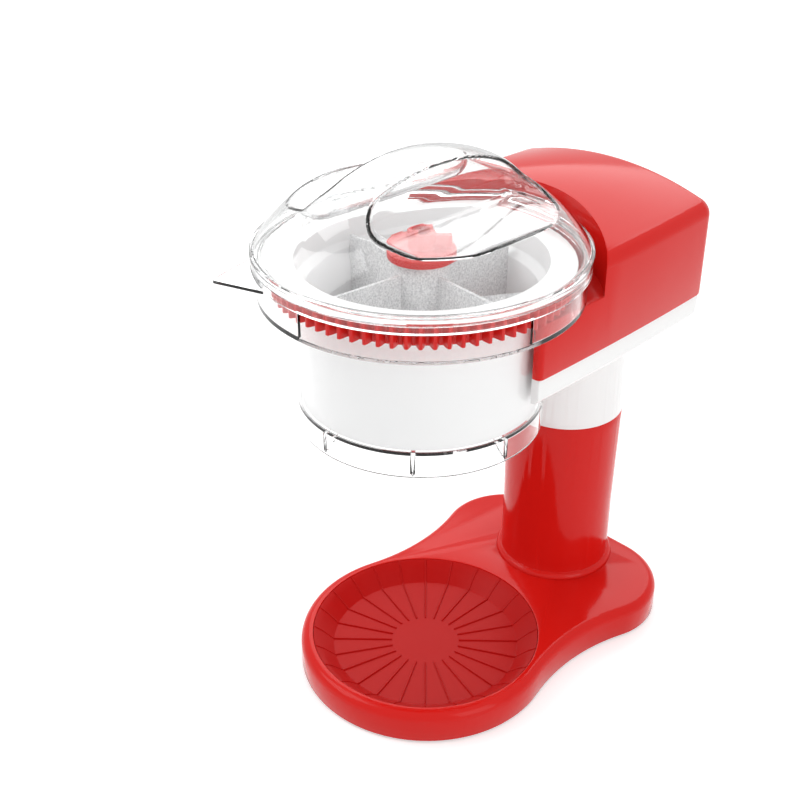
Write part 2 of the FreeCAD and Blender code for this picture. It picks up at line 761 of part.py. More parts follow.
def make_column():
    sleeve = turned(
        "sleeve_walls",
        ("column_wire_hole", "base_top"),
        ("column_foot_radius", "base_top"),
        ("column_foot_radius", "base_top + rest_gap", "column_foot_height"),
        ("column_waist_radius + rest_gap", "base_top + column_foot_height"),
        ("column_waist_radius", "column_waist"),
        ("column_seam_radius", "column_seam"),
        ("column_seam_radius - shell_wall", "column_seam"),
        ("column_waist_radius - shell_wall", "column_waist"),
        ("column_waist_radius - shell_wall", "base_top + shell_wall"),
        ("column_wire_hole", "base_top + shell_wall"),
    )
    put(sleeve, y="column_y")
    bosses = columns("sleeve_boss", column_spots, "screw_radius + boss_wall", "column_boss_height",
                     "base_top")
    holes = columns("sleeve_hole", column_spots, "screw_radius", "column_boss_height - shell_wall",
                    "base_top")
    sleeve = cut("sleeve_solid", fuse("sleeve_bossed", sleeve, *bosses), fuse("sleeve_holes", *holes))
    kept(sleeve, "column_sleeve")

    neck = turned(
        "neck_walls",
        ("column_seam_radius - 2 * shell_wall", "column_seam - neck_spigot"),
        ("column_seam_radius - shell_wall - rest_gap", "column_seam - neck_spigot"),
        ("column_seam_radius - shell_wall - rest_gap", "column_seam"),
        ("column_seam_radius", "column_seam"),
        ("neck_top_radius", "head_bottom"),
        ("neck_inner_radius", "head_bottom"),
        ("neck_inner_radius", "head_bottom - shell_wall"),
        ("neck_top_radius - shell_wall", "head_bottom - shell_wall"),
        ("column_seam_radius - shell_wall", "column_seam + shell_wall"),
        ("column_seam_radius - 2 * shell_wall", "column_seam"),
    )
    put(neck, y="column_y")
    holes = columns("neck_hole", neck_spots, "screw_radius + rest_gap / 2", "2 * shell_wall",
                    "head_bottom - 1.5 * shell_wall")
    kept(cut("neck_solid", neck, fuse("neck_holes", *holes)), "column_neck")


# ---------------------------------------------------------------- head


def head_plan(sketch, inset):
    """The head from above: bowed sides that close in towards a bowed rear wall."""
    outline(sketch, [
        ("-1 * (head_front_half - " + inset + ")", "head_front_y + " + inset),
        ("head_front_half - " + inset, "head_front_y + " + inset, "side_arc"),
        ("head_rear_half - " + inset, "head_rear_y - " + inset, "rear_arc"),
        ("-1 * (head_rear_half - " + inset + ")", "head_rear_y - " + inset, "side_arc"),
    ])


def upright(edge):
    return edge.BoundBox.XLength < 0.01 and edge.BoundBox.YLength < 0.01


def head_block(name, inset, low, height):
    """The head's plan raised, with round rear corners."""
    block = raised(name, head_plan, low, height, inset)
    middle = amount("(head_front_y + head_rear_y) / 2")
    return rounded(name + "_corners", block, amount("head_corner_round - " + inset),
                   lambda edge: upright(edge) and edge.BoundBox.YMin > middle)


def noses(name, block):
    """Rounds the front uprights of both arms, more on the outside than on the hopper's side."""
    front = amount("head_front_y + head_lip_round")
    outside = amount("recess_low_radius")
    for side, radius in (("out", "head_nose_round"), ("in", "head_lip_round")):
        block = rounded(f"{name}_{side}", block, amount(radius),
                        lambda edge: upright(edge) and edge.BoundBox.YMax < front
                        and (abs(edge.BoundBox.Center.x) > outside) == (side == "out"))
    return block


def crown(name, inset):
    """The barrel that gives the head's top its arch from side to side."""
    barrel = bind(doc.addObject("Part::Cylinder", name),
                  Radius="head_crown_radius - " + inset, Height="2 * head_rear_y")
    barrel.Placement.Rotation = Rotation(Vector(1, 0, 0), -90)
    return put(barrel, z="head_crest - head_crown_radius")


def recess(name, extra, low):
    """The stepped room for the hopper, with the pocket of the drive pinion behind it."""
    tall = "head_crest + shell_wall - "
    lower = cylinder(name + "_low", "recess_low_radius + " + extra, tall + low, z=low)
    step = "(shoulder_top - " + extra + ")"
    upper = cylinder(name + "_high", "recess_high_radius + " + extra, tall + step, z=step)
    pocket = cylinder(name + "_pocket", "pocket_radius + " + extra,
                      "pocket_top + " + extra + " - " + step, "0", "pinion_y", step)
    return fuse(name, lower, upper, pocket)


def make_head_cover():
    behind_nose = amount("head_front_y + 2 * shell_wall")
    half_up = amount("(head_seam + head_crest) / 2")

    def top_edge(edge):
        return edge.BoundBox.ZMin > half_up and edge.BoundBox.YMax > behind_nose

    block = common("cover_arched", head_block("cover_block", "0", "head_seam", "cover_height"),
                   crown("cover_crown", "0"))
    block = rounded("cover_round", block, amount("head_edge_round"), top_edge)
    hollow = common("cover_hollow", head_block("cover_inner", "shell_wall", "head_seam", "cover_height"),
                    crown("cover_inner_crown", "shell_wall"))
    hollow = rounded("cover_inner_round", hollow, amount("head_edge_round - shell_wall"), top_edge)
    room = cut("cover_room", hollow, recess("cover_recess_side", "shell_wall", "head_seam"))
    walls = cut("cover_walls", block, room)
    shell = noses("cover_nose", cut("cover_open", walls, recess("cover_recess", "0", "head_seam")))
    bosses = columns("cover_boss", head_screw_spots, "screw_radius + boss_wall", "head_boss_height",
                     "head_seam")
    for number, (across, along) in enumerate(head_screw_spots):
        low_x = across if across[0] != "-" else across + " - 4 * head_corner_round"
        bosses.append(box(f"cover_web_{number}", "4 * head_corner_round", "shell_wall / 2",
                          "head_boss_height", low_x, along + " - shell_wall / 4", "head_seam"))
    webs = common("cover_webs", fuse("cover_bosses", *bosses), block)
    holes = columns("cover_boss_hole", head_screw_spots, "screw_radius", "head_boss_height - shell_wall",
                    "head_seam")
    holes.append(cylinder("seal_hole", "seal_radius", "3 * shell_wall", "0", "pinion_y",
                          "shoulder_top - 2 * shell_wall"))
    holes.append(box("switch_hole", "switch_width", "4 * shell_wall", "switch_tall", "switch_width / -2",
                     "rear_wall_y - 3 * shell_wall", "switch_height - switch_tall / 2"))
    solid = cut("cover_solid", fuse("cover_bossed", shell, webs), fuse("cover_holes", *holes))
    kept(solid, "head_cover")


def make_head_underside():
    inset = "underside_inset"
    block = head_block("tub_block", inset, "head_bottom", "underside_height")
    low = amount("head_bottom")
    behind_nose = amount("head_front_y + 2 * shell_wall")
    block = rounded("tub_round", block, amount("underside_round"),
                    lambda edge: flat_at(edge, low) and edge.BoundBox.YMax > behind_nose)
    hollow = head_block("tub_inner", "(shell_wall + underside_inset)", "head_bottom + shell_wall",
                        "underside_height")
    side = cylinder("tub_recess_side", "recess_low_radius + shell_wall", "2 * underside_height",
                    z="head_bottom")
    walls = cut("tub_walls", block, cut("tub_room", hollow, side))
    shell = cut("tub_open", walls, cylinder("tub_recess", "recess_low_radius", "2 * underside_height",
                                            z="head_bottom - shell_wall"))
    bosses = columns("tub_boss", head_screw_spots, "screw_radius + boss_wall",
                     "underside_height - shell_wall / 2", "head_bottom + shell_wall / 2")
    holes = columns("tub_hole", head_screw_spots, "screw_radius + rest_gap / 2", "2 * underside_height",
                    "head_bottom")
    holes += columns("tub_head_seat", head_screw_spots, "screw_head_radius + rest_gap",
                     "2 * screw_head_height", "head_bottom - screw_head_height")
    holes += columns("tub_neck_hole", neck_spots, "screw_radius + rest_gap / 2", "4 * shell_wall",
                     "head_bottom - shell_wall")
    holes.append(cylinder("tub_motor_hole", "neck_inner_radius", "4 * shell_wall", "0", "column_y",
                          "head_bottom - shell_wall"))
    kept(cut("tub_solid", fuse("tub_bossed", shell, *bosses), fuse("tub_holes", *holes)), "head_underside")


# ---------------------------------------------------------------- hopper and blade


def sector(name, radius, angle, height, first, low):
    """A wedge of a cylinder about the hopper's axis."""
    made = bind(doc.addObject("Part::Cylinder", name), Radius=radius, Height=height, Angle=angle)
    return turn(put(made, z=low), first)


def radial_box(name, inner, outer, width, height, low, direction):
    """A bar that points away from the hopper's axis."""
    half = "(" + width + ") / 2"
    corners = [(inner, "-1 * " + half), (outer, "-1 * " + half), (outer, half), (inner, half)]
    return turn(raised(name, outline, low, height, corners), direction)


def tab_plan(sketch):
    """The pull tab's triangle, from the collar out to its tip."""
    root = "(collar_radius - clear_wall)"
    tip_x = "tab_reach * cos(tab_direction)"
    tip_y = "tab_reach * sin(tab_direction)"
    outline(sketch, [
        (root + " * cos(tab_direction - tab_half_spread)",
         root + " * sin(tab_direction - tab_half_spread)"),
        (tip_x + " + tab_tip_half * sin(tab_direction)", tip_y + " - tab_tip_half * cos(tab_direction)"),
        (tip_x + " - tab_tip_half * sin(tab_direction)", tip_y + " + tab_tip_half * cos(tab_direction)"),
        (root + " * cos(tab_direction + tab_half_spread)",
         root + " * sin(tab_direction + tab_half_spread)"),
    ])


def make_hopper():
    """Clear cup, floor, ledge, collar and pull tab, which meet face to face.

    In use they are one moulding; as five simple solids each keeps its hollow open.
    """
    cup = turned(
        "cup_wall",
        ("hopper_low_radius - clear_wall", "hopper_bottom"),
        ("hopper_low_radius", "hopper_bottom"),
        ("hopper_top_radius", "ledge_bottom"),
        ("hopper_top_radius - clear_wall", "ledge_bottom"),
        ("hopper_low_radius - clear_wall + rest_gap", "floor_top"),
        ("hopper_low_radius - clear_wall", "floor_top"),
    )
    kept(cup, "hopper")
    notch = cylinder("pinion_notch", "notch_radius", "ledge_thick + collar_lift + rest_gap", "0", "pinion_y",
                     "ledge_bottom - rest_gap")
    ledge = turned(
        "ledge_ring",
        ("hopper_top_radius - clear_wall", "ledge_bottom"),
        ("ledge_radius", "ledge_bottom"),
        ("ledge_radius", "ledge_top"),
        ("hopper_top_radius - clear_wall", "ledge_top"),
    )
    kept(cut("ledge_solid", ledge, notch), "hopper_ledge")
    collar = turned(
        "collar_ring",
        ("ledge_radius - clear_wall", "ledge_top"),
        ("ledge_radius", "ledge_top"),
        ("ledge_radius", "collar_bottom"),
        ("collar_radius", "collar_bottom"),
        ("collar_radius", "collar_top"),
        ("ledge_radius - clear_wall", "collar_top"),
    )
    window = cut(
        "window_cut",
        sector("window_wedge", "ledge_radius + clear_wall", "window_angle", "collar_lift", "window_start",
               "ledge_top"),
        cylinder("window_core", "ledge_radius - 2 * clear_wall", "collar_lift", z="ledge_top"),
    )
    kept(cut("collar_solid", collar, fuse("collar_cuts", window, notch)), "hopper_collar")
    tab = raised("tab_blade", tab_plan, "collar_bottom", "tab_thick")
    root = cylinder("tab_root", "collar_radius", "4 * tab_thick", z="collar_bottom - tab_thick")
    kept(cut("tab_solid", tab, root), "pull_tab")


def make_hopper_floor():
    """The floor that carries blade and spindle, over gussets against the cup's wall."""
    disc = turned(
        "floor_disc",
        ("spindle_radius", "hopper_floor - spindle_boss_depth"),
        ("spindle_boss_radius", "hopper_floor - spindle_boss_depth"),
        ("spindle_boss_radius", "hopper_floor"),
        ("hopper_low_radius - clear_wall", "hopper_floor"),
        ("hopper_low_radius - clear_wall", "floor_top"),
        ("spindle_radius", "floor_top"),
    )
    wall = "hopper_low_radius - clear_wall - running_gap"
    gusset = (
        (wall, "hopper_floor + ledge_thick / 2"),
        (wall, "hopper_floor - gusset_height"),
        (wall + " - gusset_width", "hopper_floor - gusset_height"),
        (wall + " - gusset_length", "hopper_floor"),
        (wall + " - gusset_length", "hopper_floor + ledge_thick / 2"),
    )
    rib_pattern(disc, "gusset", gusset, "gusset_width", "gusset_count", "gusset_first")
    chute = radial_box("chute", "chute_inner", "chute_outer", "chute_width", "3 * ledge_thick",
                       "hopper_floor - ledge_thick", "chute_direction")
    holes = columns("blade_hole", blade_spots, "screw_radius", "3 * ledge_thick",
                    "hopper_floor - ledge_thick")
    kept(cut("floor_solid", disc, fuse("floor_cuts", chute, *holes)), "hopper_floor")


def beside_chute(along, aside):
    """A spot given along the chute and to its side."""
    return (f"({along}) * cos(chute_direction) - ({aside}) * sin(chute_direction)",
            f"({along}) * sin(chute_direction) + ({aside}) * cos(chute_direction)")


blade_spots = [
    beside_chute("chute_inner + blade_width / 2", "chute_width / -2 - blade_width / 4"),
    beside_chute("chute_outer - blade_width / 2", "chute_width / -2 - blade_width / 4"),
]


def make_blade():
    """A flat blade beside the chute, with its ground edge over the slot."""
    sketch = doc.addObject("Sketcher::SketchObject", "blade_profile")
    front = "(chute_width / -2 + blade_overhang)"
    outline(sketch, [
        (front, "floor_top"),
        (front, "floor_top + blade_thick - blade_bevel"),
        (front + " - 3 * blade_bevel", "floor_top + blade_thick"),
        (front + " - blade_width", "floor_top + blade_thick"),
        (front + " - blade_width", "floor_top"),
    ])
    sketch.Placement = Placement(Vector(0, 0, 0), Rotation(Vector(1, 1, 1), 120))
    blade = doc.addObject("Part::Extrusion", "blade_bar")
    blade.Base = sketch
    blade.DirMode = "Custom"
    blade.Dir = Vector(1, 0, 0)
    blade.Solid = True
    bind(blade, LengthFwd="chute_outer - chute_inner")
    sketch.setExpression("Placement.Base.x", linked("chute_inner"))
    turn(blade, "chute_direction")
    holes = columns("blade_thread", blade_spots, "screw_radius", "3 * blade_thick", "floor_top - blade_thick")
    kept(cut("blade_solid", blade, fuse("blade_threads", *holes)), "ice_blade")
    screws("blade_screws", blade_spots, "hopper_floor", "ledge_thick + blade_thick - rest_gap", 1)


def make_spindle():
    top = "hub_top - shell_wall"
    spindle = turned(
        "spindle_pin",
        ("0", "hopper_floor - spindle_boss_depth"),
        ("spindle_radius", "hopper_floor - spindle_boss_depth"),
        ("spindle_radius", top + " - rest_gap"),
        ("spindle_radius - rest_gap", top),
        ("0", top),
    )
    kept(spindle, "spindle")
    washer = turned(
        "washer_ring",
        ("spindle_radius + running_gap", "floor_top"),
        ("washer_radius", "floor_top"),
        ("washer_radius", "floor_top + washer_thick"),
        ("spindle_radius + running_gap", "floor_top + washer_thick"),
    )
    kept(washer, "thrust_washer")


# ---------------------------------------------------------------- drum


def make_ramp(first):
    """A helical floor between two vanes, from near the rim of one down to the next."""
    pitch = sheet.ramp_drop * 360 / sheet.ramp_angle
    inner = Part.makeHelix(pitch, sheet.ramp_drop, sheet.hub_radius - sheet.drum_wall / 2)
    outer = Part.makeHelix(pitch, sheet.ramp_drop, sheet.drum_radius)
    face = Part.makeRuledSurface(inner.Edges[0], outer.Edges[0])
    ramp = face.extrude(Vector(0, 0, -sheet.ramp_thick))
    ramp.translate(at(0, 0, sheet.ramp_top - sheet.ramp_drop))
    ramp.rotate(at(0, 0, 0), at(0, 0, 1), first)
    return ramp


def make_drum():
    """The drum's drafted wall, and on it the flared ring that carries the gear and the rim."""
    low = "drum_bottom"
    wall = turned(
        "drum_wall_ring",
        ("drum_low_radius - drum_wall", low),
        ("drum_low_radius", low),
        ("drum_radius", "ledge_top"),
        ("drum_radius - drum_wall", "ledge_top"),
    )
    kept(wall, "drum")
    rim = turned(
        "drum_rim_ring",
        ("drum_radius - drum_wall", "ledge_top"),
        ("drum_radius", "ledge_top"),
        ("drum_top_radius", "flare_top"),
        ("drum_top_radius", "ring_top"),
        ("drum_rim_radius", "ring_top"),
        ("drum_rim_radius", "drum_rim_top"),
        ("drum_top_radius - drum_wall", "drum_rim_top"),
        ("drum_top_radius - drum_wall", "flare_inner_top"),
    )
    kept(rim, "drum_rim")


def make_vanes():
    """The insert that is pressed into the drum: hub, upright vanes and helical ramps."""
    low = "drum_bottom"
    hub = turned(
        "vane_hub",
        ("spindle_radius + running_gap", low),
        ("hub_sleeve_radius", low),
        ("hub_sleeve_radius", "hub_top - knob_spigot - 2 * drum_wall"),
        ("hub_radius - drum_wall", "hub_top - knob_spigot - 2 * drum_wall"),
        ("hub_radius - drum_wall", low),
        ("hub_radius", low),
        ("hub_radius", "hub_top"),
        ("knob_spigot_radius + running_gap", "hub_top"),
        ("knob_spigot_radius + running_gap", "hub_top - knob_spigot"),
        ("spindle_radius + running_gap", "hub_top - knob_spigot"),
    )
    inside = turned(
        "drum_inside",
        ("0", low),
        ("drum_low_radius - drum_wall", low),
        ("drum_radius - drum_wall", "ledge_top"),
        ("drum_radius - drum_wall", "hub_top"),
        ("0", "hub_top"),
    )
    spread = 360 / sheet.vane_count
    vanes = []
    for number in range(int(sheet.vane_count)):
        direction = f"(vane_first + {spread * number})"
        vanes.append(radial_box(f"vane_{number}", "hub_radius - drum_wall / 2", "drum_radius",
                                "vane_thick", "vane_top - drum_bottom", low, direction))
        ramp = doc.addObject("Part::Feature", f"ramp_{number}")
        ramp.Shape = make_ramp(sheet.vane_first + spread * number)
        vanes.append(ramp)
    blades = fuse("vanes_and_ramps", *vanes)
    blades.Refine = False
    insert = fuse("vane_solid", hub, common("vanes_trimmed", blades, inside))
    insert.Refine = False
    kept(insert, "drum_vanes")


# ---------------------------------------------------------------- gears


def tooth_half(radius, pitch, teeth, pressure, slack):
    """Half the angle that a tooth takes at a radius: an involute flank on its base circle."""
    base = pitch * math.cos(pressure)
    bent = math.acos(min(1, base / radius))
    involute = math.tan(pressure) - pressure - math.tan(bent) + bent
    return math.pi / (2 * teeth) - slack / (2 * pitch) + involute


def gear_blank(module, teeth, low, height, clock):
    """A spur gear without its bore; a tooth points to clock, in degrees."""
    pressure = math.radians(sheet.pressure_angle)
    slack = sheet.tooth_backlash / 2
    pitch = module * teeth / 2
    tip = pitch + module
    root = pitch - 1.25 * module
    flank_low = max(root, pitch * math.cos(pressure) + 0.01)
    edges = []

    def spot(radius, angle):
        return at(radius * math.cos(angle), radius * math.sin(angle), low)

    for number in range(teeth):
        middle = math.radians(clock) + 2 * math.pi * number / teeth
        after = middle + 2 * math.pi / teeth
        halves = [tooth_half(radius, pitch, teeth, pressure, slack) for radius in (flank_low, pitch, tip)]
        rise = [spot(radius, middle - half) for radius, half in zip((flank_low, pitch, tip), halves)]
        fall = [spot(radius, middle + half)
                for radius, half in zip((tip, pitch, flank_low), reversed(halves))]
        foot_half = halves[0]
        if flank_low > root:
            edges.append(Part.LineSegment(spot(root, middle - foot_half), rise[0]))
        edges.append(Part.Arc(*rise))
        edges.append(Part.LineSegment(rise[2], fall[0]))
        edges.append(Part.Arc(*fall))
        if flank_low > root:
            edges.append(Part.LineSegment(fall[2], spot(root, middle + foot_half)))
        edges.append(Part.LineSegment(spot(root, middle + foot_half), spot(root, after - foot_half)))
    face = Part.Face(Part.Wire([edge.toShape() for edge in edges]))
    return face.extrude(at(0, 0, height))


def bored(solid, radius, low, height):
    return solid.cut(Part.makeCylinder(radius, height, at(0, 0, low)))


def make_ring_gear():
    ring = gear_blank(sheet.ring_module, int(sheet.ring_teeth), sheet.ring_bottom, sheet.ring_width, 90)
    shaped("ring_gear", bored(ring, sheet.drum_top_radius, sheet.ring_bottom, sheet.ring_width))


def gear_on(name, x, y, solid):
    solid.translate(at(x, y, 0))
    return shaped(name, solid)


def make_drive():
    shaft = turned(
        "shaft_bar",
        ("0", "plate_bottom + rest_gap"),
        ("shaft_radius", "plate_bottom + rest_gap"),
        ("shaft_radius", "pinion_top - rest_gap"),
        ("0", "pinion_top - rest_gap"),
    )
    kept(shaft, "drive_shaft").setExpression("Placement.Base.y", linked("hopper_y + pinion_y"))

    # the ring has a tooth towards the pinion, so the pinion has a gap towards the ring
    clock = -90 + 180 / sheet.pinion_teeth
    height = sheet.pinion_top - sheet.ring_bottom
    pinion = gear_blank(sheet.ring_module, int(sheet.pinion_teeth), sheet.ring_bottom, height, clock)
    hub_low = sheet.shoulder_top + sheet.seal_lip + sheet.rest_gap
    hub = Part.makeCylinder(sheet.pinion_hub_radius, sheet.ring_bottom - hub_low, at(0, 0, hub_low))
    pinion = bored(pinion.fuse(hub), sheet.shaft_radius, hub_low, sheet.head_crest)
    gear_on("drive_pinion", 0, sheet.pinion_y, pinion)

    # shaft gear and idler stand tooth against gap, and so do idler and motor pinion
    to_idler = math.degrees(math.atan2(sheet.idler_y - sheet.pinion_y, sheet.idler_x))
    to_motor = math.degrees(math.atan2(sheet.column_y - sheet.idler_y, -sheet.idler_x))
    low, width = sheet.train_bottom, sheet.train_width
    gear = gear_blank(sheet.train_module, int(sheet.shaft_gear_teeth), low, width, to_idler)
    hub_low = sheet.plate_top + sheet.bush_flange + sheet.rest_gap
    hub_top = sheet.bridge_bottom - sheet.bush_flange - sheet.rest_gap
    hub = Part.makeCylinder(sheet.gear_hub_radius, hub_top - hub_low, at(0, 0, hub_low))
    gear = bored(gear.fuse(hub), sheet.shaft_radius, hub_low, sheet.bridge_lift)
    gear_on("shaft_gear", 0, sheet.pinion_y, gear)

    idler_step = 360 / sheet.idler_teeth
    idler_clock = to_idler + 180 + idler_step / 2
    idler = gear_blank(sheet.train_module, int(sheet.idler_teeth), low, width, idler_clock)
    hub_low = sheet.plate_top + sheet.rest_gap
    hub = Part.makeCylinder(sheet.idler_hub_radius, sheet.bridge_lift - 2 * sheet.rest_gap,
                            at(0, 0, hub_low))
    idler = bored(idler.fuse(hub), sheet.stud_radius + sheet.running_gap, hub_low, sheet.bridge_lift)
    gear_on("idler_gear", sheet.idler_x, sheet.idler_y, idler)

    # where the idler's teeth stand towards the motor, the motor pinion's stand the other way about
    turned_past = (to_motor - idler_clock) / idler_step
    motor_step = 360 / sheet.motor_teeth
    motor_clock = to_motor + 180 + (0.5 + turned_past) * motor_step
    motor_gear = gear_blank(sheet.train_module, int(sheet.motor_teeth), low, width, motor_clock)
    motor_gear = bored(motor_gear, sheet.motor_shaft_radius, low, width)
    gear_on("motor_pinion", 0, sheet.column_y, motor_gear)


def make_gearbox():
    def plate(name, low, rear):
        made = box(name, "2 * gear_plate_half_width", rear + " - gear_plate_front", "gear_plate_thick",
                   "-1 * gear_plate_half_width", "gear_plate_front", low)
        return rounded(name + "_corners", made, sheet.pillar_inset, upright)

    pillar_x = "gear_plate_half_width - pillar_inset"
    pillar_spots = mirrored("(" + pillar_x + ")", "gear_plate_front + pillar_inset")
    pillar_spots += mirrored("(" + pillar_x + ")", "bridge_rear - pillar_inset")
    holes = columns("plate_neck_hole", neck_spots, "screw_radius", "2 * gear_plate_thick", "plate_bottom")
    holes += columns("plate_motor_hole", motor_spots, "screw_radius + rest_gap / 2", "2 * gear_plate_thick",
                     "plate_bottom")
    holes.append(cylinder("plate_bush_hole", "shaft_radius + bush_wall", "2 * gear_plate_thick", "0",
                          "pinion_y", "plate_bottom"))
    holes.append(cylinder("plate_shaft_hole", "motor_shaft_radius + bush_wall", "2 * gear_plate_thick", "0",
                          "column_y", "plate_bottom"))
    holes.append(cylinder("plate_stud_hole", "stud_radius", "2 * gear_plate_thick", "idler_x", "idler_y",
                          "plate_bottom"))
    kept(cut("gear_plate_solid", plate("gear_plate_blank", "plate_bottom", "gear_plate_rear"),
             fuse("gear_plate_holes", *holes)), "gear_plate")
    holes = columns("bridge_screw_hole", pillar_spots, "screw_radius + rest_gap / 2",
                    "2 * gear_plate_thick", "bridge_bottom")
    holes.append(cylinder("bridge_bush_hole", "shaft_radius + bush_wall", "2 * gear_plate_thick", "0",
                          "pinion_y", "bridge_bottom"))
    holes.append(cylinder("bridge_stud_hole", "stud_radius", "2 * gear_plate_thick", "idler_x", "idler_y",
                          "bridge_bottom"))
    kept(cut("bridge_solid", plate("bridge_blank", "bridge_bottom", "bridge_rear"),
             fuse("bridge_holes", *holes)), "gear_bridge")
    pillars = []
    depth = sheet.screw_head_radius + sheet.gear_plate_thick
    for across, along in pillar_spots:
        spot = at(amount(across), amount(along), sheet.plate_top)
        pillar = Part.makeCylinder(sheet.pillar_radius, sheet.bridge_lift, spot)
        thread = Part.makeCylinder(sheet.screw_radius, 2 * depth,
                                   spot + at(0, 0, sheet.bridge_lift - 2 * depth))
        pillars.append(pillar.cut(thread))
    shaped("bridge_pillars", *pillars)
    screws("bridge_screws", pillar_spots, "bridge_bottom + gear_plate_thick",
           "gear_plate_thick + 2 * screw_head_radius", -1)
    stud = Part.makeCylinder(sheet.stud_radius, sheet.bridge_lift + 2 * sheet.gear_plate_thick,
                             at(sheet.idler_x, sheet.idler_y, sheet.plate_bottom))
    shaped("idler_stud", stud)

    bushes = []
    for low, way in ((sheet.plate_bottom, 1), (sheet.bridge_bottom + sheet.gear_plate_thick, -1)):
        spot = at(0, sheet.pinion_y, low)
        outer = Part.makeCylinder(sheet.shaft_radius + sheet.bush_wall, sheet.gear_plate_thick, spot,
                                  at(0, 0, way))
        flange_spot = spot + at(0, 0, way * sheet.gear_plate_thick)
        flange = Part.makeCylinder(sheet.bush_flange_radius, sheet.bush_flange, flange_spot, at(0, 0, way))
        bore = Part.makeCylinder(sheet.shaft_radius + sheet.running_gap, 4 * sheet.gear_plate_thick,
                                 spot - at(0, 0, way * sheet.bush_flange), at(0, 0, way))
        bushes.append(outer.fuse(flange).cut(bore))
    shaped("shaft_bushes", *bushes)

    seal = turned(
        "seal_ring",
        ("shaft_radius + running_gap", "shoulder_top - shell_wall"),
        ("seal_radius", "shoulder_top - shell_wall"),
        ("seal_radius", "shoulder_top"),
        ("seal_radius + seal_lip", "shoulder_top"),
        ("seal_radius + seal_lip", "shoulder_top + seal_lip / 2"),
        ("seal_radius", "shoulder_top + seal_lip"),
        ("shaft_radius + running_gap", "shoulder_top + seal_lip"),
    )
    kept(seal, "shaft_seal").setExpression("Placement.Base.y", linked("hopper_y + pinion_y"))


def make_motor():
    low = "(plate_bottom - motor_length)"
    can = turned(
        "can_walls",
        ("0", low),
        ("motor_radius", low),
        ("motor_radius", "plate_bottom"),
        ("motor_shaft_radius + running_gap", "plate_bottom"),
        ("motor_shaft_radius + running_gap", "plate_bottom - motor_wall"),
        ("motor_radius - motor_wall", "plate_bottom - motor_wall"),
        ("motor_radius - motor_wall", low + " + motor_wall"),
        ("0", low + " + motor_wall"),
    )
    put(can, y="column_y")
    threads = columns("can_thread", motor_spots, "screw_radius", "2 * motor_wall",
                      "plate_bottom - motor_wall")
    kept(cut("can_solid", can, fuse("can_threads", *threads)), "motor_can")
    screws("motor_screws", motor_spots, "plate_top", "gear_plate_thick + motor_wall", -1)

    middle = "(plate_bottom - motor_length / 2)"
    field = turned(
        "field_ring",
        ("motor_radius - motor_wall - field_wall", middle + " - armature_length / 2"),
        ("motor_radius - motor_wall", middle + " - armature_length / 2"),
        ("motor_radius - motor_wall", middle + " + armature_length / 2"),
        ("motor_radius - motor_wall - field_wall", middle + " + armature_length / 2"),
    )
    kept(field, "motor_field").setExpression("Placement.Base.y", linked("hopper_y + column_y"))
    rotor = turned(
        "rotor_bar",
        ("0", low + " + motor_wall + rest_gap"),
        ("motor_shaft_radius", low + " + motor_wall + rest_gap"),
        ("motor_shaft_radius", middle + " - armature_length / 2"),
        ("armature_radius", middle + " - armature_length / 2"),
        ("armature_radius", middle + " + armature_length / 2"),
        ("motor_shaft_radius", middle + " + armature_length / 2"),
        ("motor_shaft_radius", "train_top + rest_gap"),
        ("0", "train_top + rest_gap"),
    )
    kept(rotor, "motor_rotor").setExpression("Placement.Base.y", linked("hopper_y + column_y"))


# ---------------------------------------------------------------- knob and lid


def make_knob():
    disc = turned(
        "knob_disc",
        ("knob_hole_radius", "hub_top - knob_spigot"),
        ("knob_spigot_radius", "hub_top - knob_spigot"),
        ("knob_spigot_radius", "hub_top"),
        ("knob_radius", "hub_top"),
        ("knob_radius", "hub_top + knob_thick"),
        ("knob_boss_radius", "hub_top + knob_thick"),
        ("knob_boss_radius", "hub_top + knob_thick + knob_boss_height"),
        ("knob_hole_radius", "hub_top + knob_thick + knob_boss_height"),
    )
    wing = radial_box("knob_wing", "(knob_hole_radius + knob_boss_radius) / 2", "knob_wing_reach",
                      "knob_wing_width", "knob_wing_height + knob_thick / 2", "hub_top + knob_thick / 2",
                      "knob_direction")
    kept(fuse("knob_solid", disc, wing), "locking_knob")


def dome(name, thinner, low):
    """The lid's outside or, made thinner, its inside: a dome, a grip ridge and two scoops."""
    cap = ball(name + "_cap", "dome_sphere - " + thinner, "dome_centre")
    ridge = ellipsoid(name + "_ridge", "ridge_half_width - " + thinner, "ridge_half_length - " + thinner,
                      "ridge_rise - " + thinner, "0", "ridge_y", "ridge_top - ridge_rise")
    above = cylinder(name + "_above", "lid_radius", "ridge_top", z=low)
    full = common(name + "_full", fuse(name + "_union", cap, ridge), above)
    for side, sign in (("left", "-1 * "), ("right", "")):
        scoop = ellipsoid(f"{name}_scoop_{side}", "scoop_half_width + " + thinner,
                          "scoop_half_length + " + thinner, "scoop_half_depth + " + thinner,
                          sign + "scoop_x", "0", "dome_bottom + dome_rise - scoop_drop")
        full = cut(f"{name}_{side}", full, scoop)
    return full


def make_lid():
    shell = cut("lid_shell", dome("lid_outer", "0", "dome_bottom"),
                dome("lid_inner", "clear_wall", "lid_bottom"))
    spigot = "(ledge_radius - clear_wall - spigot_gap)"
    rim = turned(
        "lid_rim",
        (spigot + " - clear_wall", "lid_bottom - spigot_drop"),
        (spigot, "lid_bottom - spigot_drop"),
        (spigot, "lid_bottom"),
        ("lid_radius", "lid_bottom"),
        ("lid_radius", "dome_bottom"),
        ("dome_radius - clear_wall", "dome_bottom"),
        ("dome_radius - clear_wall", "lid_bottom + clear_wall"),
        (spigot + " - clear_wall", "lid_bottom + clear_wall"),
    )
    kept(fuse("lid_solid", shell, rim), "lid")


# ---------------------------------------------------------------- switch and cord bushing


